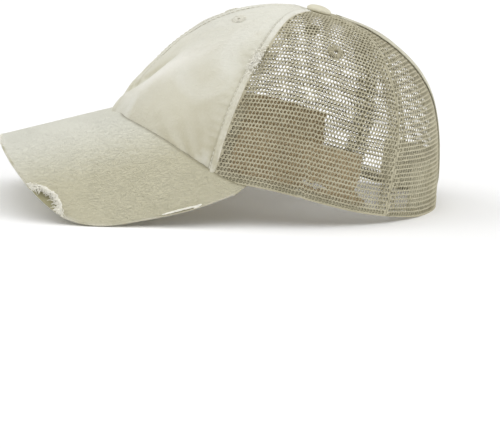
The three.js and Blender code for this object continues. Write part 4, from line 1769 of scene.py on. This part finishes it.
@dataclass
class Crown:
    """The crown's six panels, their stitching, the tapes, the eyelets and the button."""

    form: CapForm
    maker: Maker
    wardrobe: Wardrobe
    slit: Slit = field(default_factory=Slit)
    front_seam: float = 62.0
    back_seam: float = 124.5
    front_strip: float = 6.4
    back_strip: float = 6.2
    hem_radius: float = 0.65
    stitch_line: float = 3.9
    net_stitch_line: float = 4.4

    def fronts(self) -> None:
        """Makes the two twill panels and the stitches along their folded edges."""
        for side, word in SIDES:
            name = f"front_panel_{word}"
            panel = TwillPanel(self.form, side, self.front_seam)
            self.maker.piece(f"cloth_{name}", panel.build(), self.wardrobe.twill, "twill", [name])
            rows = [
                self.seam_row(side, self.front_seam, FRONT_BENDS, -self.stitch_line, 0.1),
                self.seam_row(side, 0.0, (), self.stitch_line / CENTRE_SQUEEZE, 0.0),
            ]
            self.maker.piece(f"front_stitches_{word}", join(rows), self.wardrobe.thread, "twill")
        tuft = SeamTear().tuft(self.form, self.front_seam)
        self.maker.piece("seam_tuft", tuft, self.wardrobe.fray, "twill")

    def seam_row(
        self, side: int, seam: float, bends: Sequence[SeamBend], aside: float, inset: float
    ) -> Cloth:
        """A row of stitches beside a seam.

        Args:
            side: 1 for the wearer's left and -1 for the right.
            seam: Angle of the seam.
            bends: Places where the seam turns aside.
            aside: Distance from the seam, towards the back where it is above 0.
            inset: Depth of the row's thread.

        Returns:
            The stitches.
        """
        length = float(self.form.length_at(seam))

        def line(distance: Array) -> tuple[Array, Array, Array]:
            """The row's place at a distance along it."""
            climb = distance + 1.5
            near_top = ease(length - climb, 6, 30)
            angle = seam_angle(seam, bends, climb) + aside * near_top / self.form.width_at(seam, climb)
            return side * angle, climb, np.full_like(climb, inset)

        return Stitching(self.form).along(line, length - 12)

    def nets(self) -> None:
        """Makes the four net panels and the stitches beside their seams."""
        seam_front = PanelEdge(self.front_seam, EdgeKind.SEAM, self.front_strip, 0.0, FRONT_BENDS)
        seam_back = PanelEdge(self.back_seam, EdgeKind.SEAM, self.back_strip, 1.0, BACK_BENDS)
        edge_slit = PanelEdge(180.0, EdgeKind.SLIT, 0.0)
        for side, word in SIDES:
            for kind, first, last in (("side", seam_front, seam_back), ("back", seam_back, edge_slit)):
                name = f"{kind}_panel_{word}"
                panel = NetPanel(self.form, name, side, first, last, self.slit)
                self.maker.piece(f"net_{name}", panel.build(), self.wardrobe.net, "net", [name])
            rows = [
                self.seam_row(side, self.back_seam, BACK_BENDS, aside, -0.5)
                for aside in (-self.net_stitch_line, self.net_stitch_line)
            ]
            self.maker.piece(f"net_stitches_{word}", join(rows), self.wardrobe.net_thread, "net")
            self.maker.piece(f"hem_roll_{word}", self.hem_roll(side), self.wardrobe.hem, "net")

    def hem_roll(self, side: int) -> Cloth:
        """The tightly rolled lower edge of the net."""
        angles = np.linspace(self.front_seam + 0.8, 180 - 1.2, 260)
        uneven = Rumple(7, 71, 2)
        marks = stacked(angles * 1.3, 0.0, side * 40.0)
        climbs = 0.75 + 0.18 * uneven.at(marks)
        paths = self.form.crown(side * angles, climbs, 0.55)
        radii = self.hem_radius * (1 + 0.22 * uneven.at(marks + 30))
        return strands(paths[None], radii[None], sides=8)

    def tapes(self) -> None:
        """Makes the folded tapes of the slit."""
        for side, word in SIDES:
            name = f"slit_tape_{word}"
            tape = self.slit.tape(self.form, side)
            self.maker.piece(f"cloth_{name}", tape, self.wardrobe.tape, "tape", [name])

    def local(self, angle: float, climb: float) -> tuple[Array, Array, Array, Array]:
        """A place on the crown with its directions round, up and out."""
        here = self.form.crown(angle, climb)
        out = unit(here - self.form.crown(angle, climb, 1.0))
        up = self.form.crown(angle, climb + 1) - here
        up = unit(up - out * np.dot(up, out))
        return here, np.cross(up, out), up, out

    def eyelets(self) -> None:
        """Makes the sewn eyelets."""
        for place in EYELETS:
            front = "front" in place.name
            ring = SewnEyelet(hole=1.0, sink=0.3) if front else SewnEyelet(hole=1.45)
            climb = place.climb * float(self.form.length_at(place.angle))
            cloth = ring.thread(self.local(place.angle, climb), hash_name(place.name))
            finish = self.wardrobe.thread if front else self.wardrobe.net_thread
            slot = "twill" if front else "net"
            self.maker.piece(f"sewn_{place.name}", cloth, finish, slot, [place.name])

    def button(self) -> None:
        """Makes the covered top button."""
        cloth = TopButton().cloth(self.form)
        self.maker.piece("cloth_top_button", cloth, self.wardrobe.strip, "net", ["top_button"])

    def build(self) -> None:
        """Makes every piece of the crown."""
        self.fronts()
        self.nets()
        self.tapes()
        self.eyelets()
        self.button()


@dataclass
class Lining:
    """The sweatband with its ragged ends, and the closure strip across the slit's foot."""

    form: CapForm
    maker: Maker
    wardrobe: Wardrobe
    band_height: float = 33.5
    band_wall: float = 1.2
    band_inset: float = 1.6
    band_angle: float = 110.5
    gap_angle: float = 94.5
    gap_climb: float = 9.2
    gap_half: float = 6.0
    gap_height: float = 1.9
    band_foot: float = 1.0
    strip_top: float = 31.0
    strip_foot: float = 3.0
    strip_wall: float = 1.2
    strip_inset: float = 2.6
    strip_angle: float = 139.0

    def band(self) -> None:
        """Makes the sweatband."""
        climbs = np.linspace(self.band_foot, self.band_height, 40)[:, None]
        shares = np.linspace(-1, 1, 340)[None, :]
        marks = stacked(0.0, climbs, np.sign(shares) * 50)
        reach = self.band_angle + 3.6 * hill(climbs - 6, 3.2) + Rumple(5, 31, 3).at(marks)
        angles = reach * shares
        wave = 0.18 * Rumple(14, 32, 2).at(self.form.crown(angles, climbs))
        grids = self.laid(angles, climbs, self.band_inset + wave, self.band_wall, 0.2)
        aside = (angles[:-1, :-1] - self.gap_angle) * 1.35 / self.gap_half
        above = (climbs[:-1] + 0.4 - self.gap_climb) / self.gap_height
        rough = 0.35 * Rumple(2.5, 34, 2).at(self.form.crown(angles, climbs)[:-1, :-1])
        cloth = grid_wall(*grids, keep=np.hypot(aside, above) + rough > 1)
        self.maker.piece("cloth_sweatband", cloth, self.wardrobe.lining, "lining", ["sweatband"])

    def strip(self) -> None:
        """Makes the closure strip."""
        climbs = np.linspace(self.strip_foot, self.strip_top, 24)[:, None]
        angles = np.linspace(self.strip_angle, 360 - self.strip_angle, 90)[None, :]
        wave = 0.2 * Rumple(11, 33, 2).at(self.form.crown(angles, climbs))
        cloth = grid_wall(*self.laid(angles, climbs, self.strip_inset + wave, self.strip_wall, 0.1))
        self.maker.piece("cloth_closure_strip", cloth, self.wardrobe.strip, "lining", ["closure_strip"])

    def laid(
        self, angles: Array, climbs: Array, inset: Array, wall: float, thinned: float
    ) -> tuple[Array, Array, Array]:
        """Outer face, inner face and flat places of a band that lies inside the crown.

        Args:
            angles: Angles of its points.
            climbs: Climbs of its points.
            inset: Distance of the full wall's outer face inwards.
            wall: Full thickness.
            thinned: How far the outer face is drawn in from that.

        Returns:
            The three grids.
        """
        outer = self.form.crown(angles, climbs, inset + thinned)
        inner = self.form.crown(angles, climbs, inset + wall)
        return outer, inner, stacked(angles * 1.6, climbs)

    def build(self) -> None:
        """Makes both pieces."""
        self.band()
        self.strip()


@dataclass
class Brim:
    """The curved brim: its two sheets of cloth, the board between them and the wear along its edge."""

    form: CapForm
    maker: Maker
    wardrobe: Wardrobe
    wall: float = 1.0
    board_gap: float = 0.3
    tear_start: float = 0.428
    tear_end: float = 0.605
    tear_depth: float = 8.0
    rub_start: float = 63.8
    rub_end: float = 68.3
    rub_drawn: float = 2.1
    crown_gap: float = 0.15
    root_search: float = 9.0
    columns: int = 180
    rows: int = 76

    def __post_init__(self) -> None:
        """Finds where each line of the brim meets the crown."""
        self.angles = np.linspace(-self.form.horn_angle, self.form.horn_angle, self.columns)
        root, edge = self.form.brim_line(self.angles)
        self.spans = np.linalg.norm(edge - root, axis=1)
        self.roots = {depth: self.find_root(depth) for depth in (0.0, self.form.brim_thickness)}

    def find_root(self, depth: float) -> Array:
        """Distance drawn in from the edge at which a face of the brim meets the crown."""
        steps = np.arange(-4.0, self.root_search, 0.25)
        drawn = self.spans[None, :] + steps[:, None]
        points = self.form.brim_from_edge(self.angles[None, :], drawn, depth)
        outside = self.form.reach_at(points) > self.crown_gap
        first_in = np.argmin(outside, axis=0)
        first_in = np.where(outside.all(axis=0), len(steps) - 1, np.maximum(first_in - 1, 0))
        return self.spans + steps[first_in]

    def bite(self, angles: Array) -> Array:
        """How far the torn cloth is drawn in from the edge at an angle."""
        turn = angles / self.form.horn_angle
        share = np.clip((turn - self.tear_start) / (self.tear_end - self.tear_start), 0, 1)
        torn = (turn > self.tear_start) & (turn < self.tear_end)
        depth = self.tear_depth * np.sin(math.pi * share) ** 0.8
        marks = stacked(angles * 1.2, 0.0, 0.0)
        ragged = 0.9 * Rumple(2.4, 41, 2).at(marks) * np.sin(math.pi * share) ** 0.5
        return np.where(torn, np.maximum(depth + ragged, 0.2), 0.0)

    def sheet(self, top: bool) -> Cloth:
        """One of the two sheets of cloth.

        Args:
            top: Whether it is the upper sheet, which is torn.

        Returns:
            The sheet.
        """
        form = self.form
        thickness = form.brim_thickness
        bite = self.bite(self.angles)
        if not top:
            bite = np.minimum(bite, 1.5)
        round_in = form.edge_round + 0.25
        flat = np.linspace(0, 1, self.rows)[:, None]
        turn = np.radians(np.linspace(0, 90, 7))[1:, None]
        root = self.roots[0.0 if top else thickness]
        torn = ease(bite, 0.1, 1.2)[None, :]
        start = np.maximum(round_in, bite)[None, :]
        drawn_flat = lerp(root[None, :], start, flat)
        drawn_round = start - lerp(round_in * np.sin(turn), 0.5 * np.sin(turn), torn)
        depth_round = lerp(thickness / 2 * (1 - np.cos(turn)), 0.12 * (1 - np.cos(turn)), torn)
        drawn = np.concatenate([drawn_flat, drawn_round])
        depth = np.concatenate([np.zeros_like(drawn_flat), depth_round])
        drawn_under = np.concatenate([drawn_flat, drawn_round + lerp(self.wall, 0.1, torn)])
        depth_under = depth + np.concatenate(
            [np.full_like(drawn_flat, self.wall), lerp(self.wall * np.cos(turn), self.wall * 0.8, torn)]
        )
        angles = np.broadcast_to(self.angles, drawn.shape)
        weave = form.brim_weave(angles, drawn)
        lines = np.concatenate([weave, np.full_like(drawn, 0.0 if top else 90.0)[..., None]], axis=-1)
        height = self.pucker(lines, drawn, root[None, :])
        if top:
            outer = form.brim_from_edge(angles, drawn, depth - height)
            inner = form.brim_from_edge(angles, drawn_under, depth_under)
        else:
            outer = form.brim_from_edge(angles, drawn, thickness - depth + height)
            inner = form.brim_from_edge(angles, drawn_under, thickness - depth_under)
        worn = self.edge_wear_and_shade(angles, drawn, bite, top)
        turned = 1 if top else -1
        return grid_wall(*(grid[::-1, ::turned] for grid in (outer, inner, weave, worn)))

    def pucker(self, lines: Array, drawn: Array, root: Array) -> Array:
        """Height of the fine crackled pucker of the brim's cloth.

        Args:
            lines: Places on the flat cloth.
            drawn: Distances from the edge.
            root: Distances from the edge to the crown.

        Returns:
            Heights out of the cloth.
        """
        fine = Rumple(2.1, 42, 2).at(lines, (1.0, 1.6, 1))
        broad = Rumple(16, 43, 1).at(lines)
        ridges = 0.11 * (1 - 2 * np.abs(fine)) * (0.65 + 0.5 * broad)
        return (ridges + 0.08 * broad) * ease(drawn, 0, 4) * ease(root - drawn, 0, 6)

    def edge_wear_and_shade(self, angles: Array, drawn: Array, bite: Array, top: bool) -> Array:
        """Bleached wear along the edge, at the tip, round the tear and at the abraded line, with painted
        shadow below 0 along the brim's root and beside the abraded line.
        """
        marks = stacked(angles * 1.2, drawn, 0.0)
        patchy = 0.55 + 0.6 * Rumple(4, 44, 2).at(marks)
        edge = 0.4 * hill(drawn, 1.3) * patchy
        tip = 0.9 * hill(drawn, 2.5) * hill(angles - 3, 9) * patchy
        if not top:
            return np.clip(edge, 0, 1)
        turn = angles / self.form.horn_angle
        near = ease(turn, self.tear_start, self.tear_start + 0.03)
        near = near * (1 - ease(turn, self.tear_end - 0.03, self.tear_end))
        rim = 0.5 * near * hill(np.maximum(drawn - bite, 0), 0.8)
        root = self.roots[0.0][None, :] - drawn
        rub = ease(angles, self.rub_start, self.rub_start + 0.3)
        rub = rub * (1 - ease(angles, self.rub_end, self.rub_end + 0.3))
        # Painted shadow: a dark line along the brim's root at the crown, and one beside the rubbed roll.
        shade = 0.75 * hill(root, 1.3) + 0.8 * rub * hill(drawn - self.rub_drawn + 0.6, 1.0)
        return np.clip(edge + tip + rim, 0, 1) - shade

    def board(self) -> Cloth:
        """The stiff board between the sheets."""
        form = self.form
        start = self.wall + self.board_gap
        end = form.brim_thickness - start
        mid = (start + end) / 2
        inset = start - 0.7 * ease(self.bite(self.angles), 0.4, 2)[None, :]
        flat = np.linspace(0, 1, 40)[:, None]
        root = np.minimum(self.roots[0.0], self.roots[form.brim_thickness])[None, :] - 0.2
        turn = np.radians(np.linspace(0, 90, 5))[1:, None]
        round_in = 0.5
        drawn_flat = lerp(root, inset + round_in, flat)
        drawn_round = inset + round_in - round_in * np.sin(turn)
        depth_flat = np.full_like(drawn_flat, start)
        depth_round = np.broadcast_to(mid - (mid - start) * np.cos(turn), (4, self.columns))
        drawn = np.concatenate([drawn_flat, drawn_round[:-1]])
        depth = np.concatenate([depth_flat, depth_round[:-1]])
        angles = np.broadcast_to(self.angles, drawn.shape)
        outer = form.brim_from_edge(angles, drawn, depth)
        inner = form.brim_from_edge(angles, drawn, form.brim_thickness - depth)
        weave = form.brim_weave(angles, drawn)
        return grid_wall(*(grid[::-1] for grid in (outer, inner, weave)), swell=0.1)

    def tear_fray(self) -> Cloth:
        """The white fringe of bare threads round the tear."""
        random = np.random.default_rng(51)
        count = 330
        each = (count, 1)
        horn = self.form.horn_angle
        share = random.uniform(0.02, 0.98, count)
        share = np.where(random.random(count) < 0.16, random.choice([0.07, 0.93], count), share)
        share = np.clip(share + random.normal(0, 0.02, count), 0, 1)
        angle = horn * lerp(self.tear_start, self.tear_end, share)
        bite = np.interp(angle, self.angles, self.bite(self.angles))
        along = np.linspace(0, 1, 7)[None, :]
        back = random.uniform(0.1, 1.1, each)
        over = random.uniform(0.9, 3.4, each) * np.minimum(1, bite / 4 + 0.2)[:, None]
        drift = random.normal(0, 1.3, each)
        curl = random.normal(0, 0.5, each)
        drawn = (bite[:, None] + back) - along * (back + over)
        wide = 1.15
        angles = angle[:, None] + (drift * along + curl * np.sin(along * math.pi)) / wide
        lift = random.uniform(0.2, 1.7, each) * np.sin(along * math.pi * 0.8)
        sink = ease(along, 0.55, 1) * random.uniform(0, 0.8, each)
        depth = -0.15 - lift + sink
        paths = self.form.brim_from_edge(angles, np.maximum(drawn, 0.1), depth)
        radii = random.uniform(0.18, 0.34, each) * (1 - 0.6 * along)
        return strands(paths, radii, worn=random.uniform(0.1, 1, count))

    def abrasion(self) -> Cloth:
        """The white roll of rubbed threads near the brim's edge, with a knot at its back end."""
        random = np.random.default_rng(52)
        count = 40
        each = (count, 1)
        along = np.linspace(0, 1, 48)[None, :]
        start = self.rub_start + random.uniform(0, 0.9, each)
        end = self.rub_end - random.uniform(0, 0.9, each)
        turn = random.uniform(0, 2 * math.pi, each) + along * random.uniform(9, 26, each)
        reach = random.uniform(0.3, 0.95, each) * np.sin(math.pi * np.clip(along, 0.04, 0.96)) ** 0.3
        angles = lerp(start, end, along)
        drawn = self.rub_drawn + 1.1 * np.sin(along * 2.6) + reach * np.cos(turn)
        depth = -0.75 - reach * np.sin(turn)
        radii = np.broadcast_to(0.22 - 0.04 * np.cos(along * 40), drawn.shape)
        paths = self.form.brim_from_edge(angles, drawn, depth)
        roll = strands(paths, radii, worn=random.uniform(0.2, 1, count))
        spin = np.linspace(0, 2 * math.pi, 14, endpoint=False)[None, :]
        loops = 26
        size = random.uniform(0.9, 2.0, (loops, 1))
        tilt = random.uniform(-0.9, 0.9, (loops, 1))
        swing = random.uniform(0, math.pi, (loops, 1))
        u, v = size * np.cos(spin), size * np.sin(spin)
        across = u * np.cos(swing) - v * np.sin(swing) * np.cos(tilt)
        inwards = self.rub_drawn - 0.2 + (u * np.sin(swing) + v * np.cos(swing) * np.cos(tilt)) * 0.8
        above = 1.1 + 0.6 * v * np.sin(tilt) + random.uniform(-0.1, 0.35, (loops, 1))
        knot = self.form.brim_from_edge(self.rub_end + across / 5.5, inwards, -above)
        radii = np.full(knot.shape[:2], 0.21)
        tangle = strands(knot, radii, closed=True, worn=random.uniform(0.2, 1, loops))
        return join([roll, tangle])

    def tip_fray(self) -> Cloth:
        """Short bare threads at the brim's worn tip."""
        random = np.random.default_rng(53)
        count = 150
        each = (count, 1)
        along = np.linspace(0, 1, 5)[None, :]
        angle = random.normal(-1, 3.6, each) + random.normal(0, 0.5, each) * along
        drawn = random.uniform(0.3, 2.2, each) - along * random.uniform(0.3, 1.2, each)
        depth = -0.1 - random.uniform(0.1, 0.5, each) * np.sin(along * math.pi)
        radii = random.uniform(0.09, 0.15, each) * (1 - 0.5 * along)
        return strands(self.form.brim_from_edge(angle, np.maximum(drawn, -0.2), depth), radii, worn=0.7)

    def build(self) -> None:
        """Makes every piece of the brim."""
        maker, wardrobe = self.maker, self.wardrobe
        cover = join([self.sheet(True), self.sheet(False)])
        maker.piece("cloth_brim_cover", cover, wardrobe.brim_twill, "twill", ["brim_cover"])
        maker.piece("shaped_brim_board", self.board(), wardrobe.board, "board", ["brim_board"])
        maker.piece("tear_fray", self.tear_fray(), wardrobe.fray, "twill")
        maker.piece("rubbed_edge", self.abrasion(), wardrobe.fray, "twill")
        maker.piece("tip_fray", self.tip_fray(), wardrobe.fray, "twill")


# Studio

def sky(azimuth: float, elevation: float) -> Vector:
    """Direction of a place in the sky, seen from the cap."""
    a, e = math.radians(azimuth), math.radians(elevation)
    return Vector((math.sin(a) * math.cos(e), -math.cos(a) * math.cos(e), math.sin(e)))


@dataclass
class Studio:
    """The pale floor, the soft lights and the camera at the photo's angle.

    Attributes:
        azimuth: Direction of the camera round the cap.
        elevation: Height of the camera over the horizon.
        roll: Turn of the picture.
        distance: Distance of the camera from the point that it was fitted on.
        scale: Pixels for each millimetre at that distance.
        anchor: That point.
        anchor_x: Its pixel column in the picture.
        anchor_y: Its pixel row in the picture.
    """

    azimuth: float = 83.0
    elevation: float = 10.0
    roll: float = -1.7
    distance: float = 1600.0
    scale: float = 1.667
    anchor: tuple[float, float, float] = (0.0, 0.0, 60.0)
    anchor_x: float = 223.0
    anchor_y: float = 103.0
    picture_width: int = 500
    picture_height: int = 448
    sensor: float = 36.0

    def camera(self) -> None:
        """Makes the camera, turned so that the fitted point falls on its pixel."""
        a, r = math.radians(self.azimuth), math.radians(self.roll)
        back = sky(self.azimuth, self.elevation)
        right = Vector((math.cos(a), math.sin(a), 0))
        up = back.cross(right)
        place = (Vector(self.anchor) + back * self.distance) * MM
        rolled_right = right * math.cos(r) - up * math.sin(r)
        rolled_up = right * math.sin(r) + up * math.cos(r)
        reach = self.scale * self.distance
        aside = (self.picture_width / 2 - self.anchor_x) / reach
        down = (self.picture_height / 2 - self.anchor_y) / reach
        ahead = (-back + rolled_right * aside - rolled_up * down).normalized()
        side = ahead.cross(rolled_up).normalized()
        true_up = side.cross(ahead)
        data = bpy.data.cameras.new("camera")
        data.sensor_width = self.sensor
        data.lens = self.sensor * reach / self.picture_width
        data.clip_start = 0.1
        data.clip_end = 50
        matrix = Matrix((side, true_up, -ahead)).transposed().to_4x4()
        matrix.translation = place
        camera = add_object("camera", data)
        camera.matrix_world = matrix
        bpy.context.scene.camera = camera

    def floor(self) -> None:
        """Makes the pale floor."""
        size = 12.0
        mesh = bpy.data.meshes.new("floor")
        corners = [(-size, -size, 0), (size, -size, 0), (size, size, 0), (-size, size, 0)]
        mesh.from_pydata(corners, [], [(0, 1, 2, 3)])
        board = Board("pale_floor", roughness=1.0, specular=0.0)
        mesh.materials.append(board.finish((1.0, 1.0, 1.0)))
        floor = add_object("floor", mesh)

    def light(self, name: str, azimuth: float, elevation: float, softness: float, strength: float) -> None:
        """Adds an even light from one side of the sky.

        Args:
            name: Name of the light.
            azimuth: Direction round the cap, as the camera's.
            elevation: Height over the horizon.
            softness: Width of the light's source in the sky, in degrees.
            strength: Strength in watts for each square metre.
        """
        back = sky(azimuth, elevation)
        data = bpy.data.lights.new(name, "SUN")
        data.angle = math.radians(softness)
        data.energy = strength
        lamp = add_object(name, data)
        lamp.rotation_mode = "QUATERNION"
        lamp.rotation_quaternion = (-back).to_track_quat("-Z", "Y")
        lamp.location = back * 2

    def world(self, strength: float) -> None:
        """Sets the even white surroundings."""
        world = bpy.data.worlds.new("surroundings")
        bpy.context.scene.world = world
        world.use_nodes = True
        background = world.node_tree.nodes["Background"]
        background.inputs["Color"].default_value = (1, 1, 1, 1)
        background.inputs["Strength"].default_value = strength

    def build(self) -> None:
        """Makes the whole studio."""
        bpy.context.scene.view_settings.view_transform = "Standard"
        self.floor()
        self.camera()
        self.light("top", 70, 78, 80, 1.5)
        self.light("front", -15, 32, 50, 1.0)
        self.light("back", 158, 26, 50, 1.1)
        self.world(0.27)


def main() -> None:
    """Builds the cap's looks and the studio, and reports the pieces."""
    form = CapForm()
    log.info("rest tilt %.3f, shift %s", form.tilt, form.shift)
    maker = Maker(form)
    wardrobe = Wardrobe()
    Crown(form, maker, wardrobe).build()
    Lining(form, maker, wardrobe).build()
    Brim(form, maker, wardrobe).build()
    Studio().build()
    log.info("%d pieces", len(maker.made))


if __name__ == "__main__":
    main()
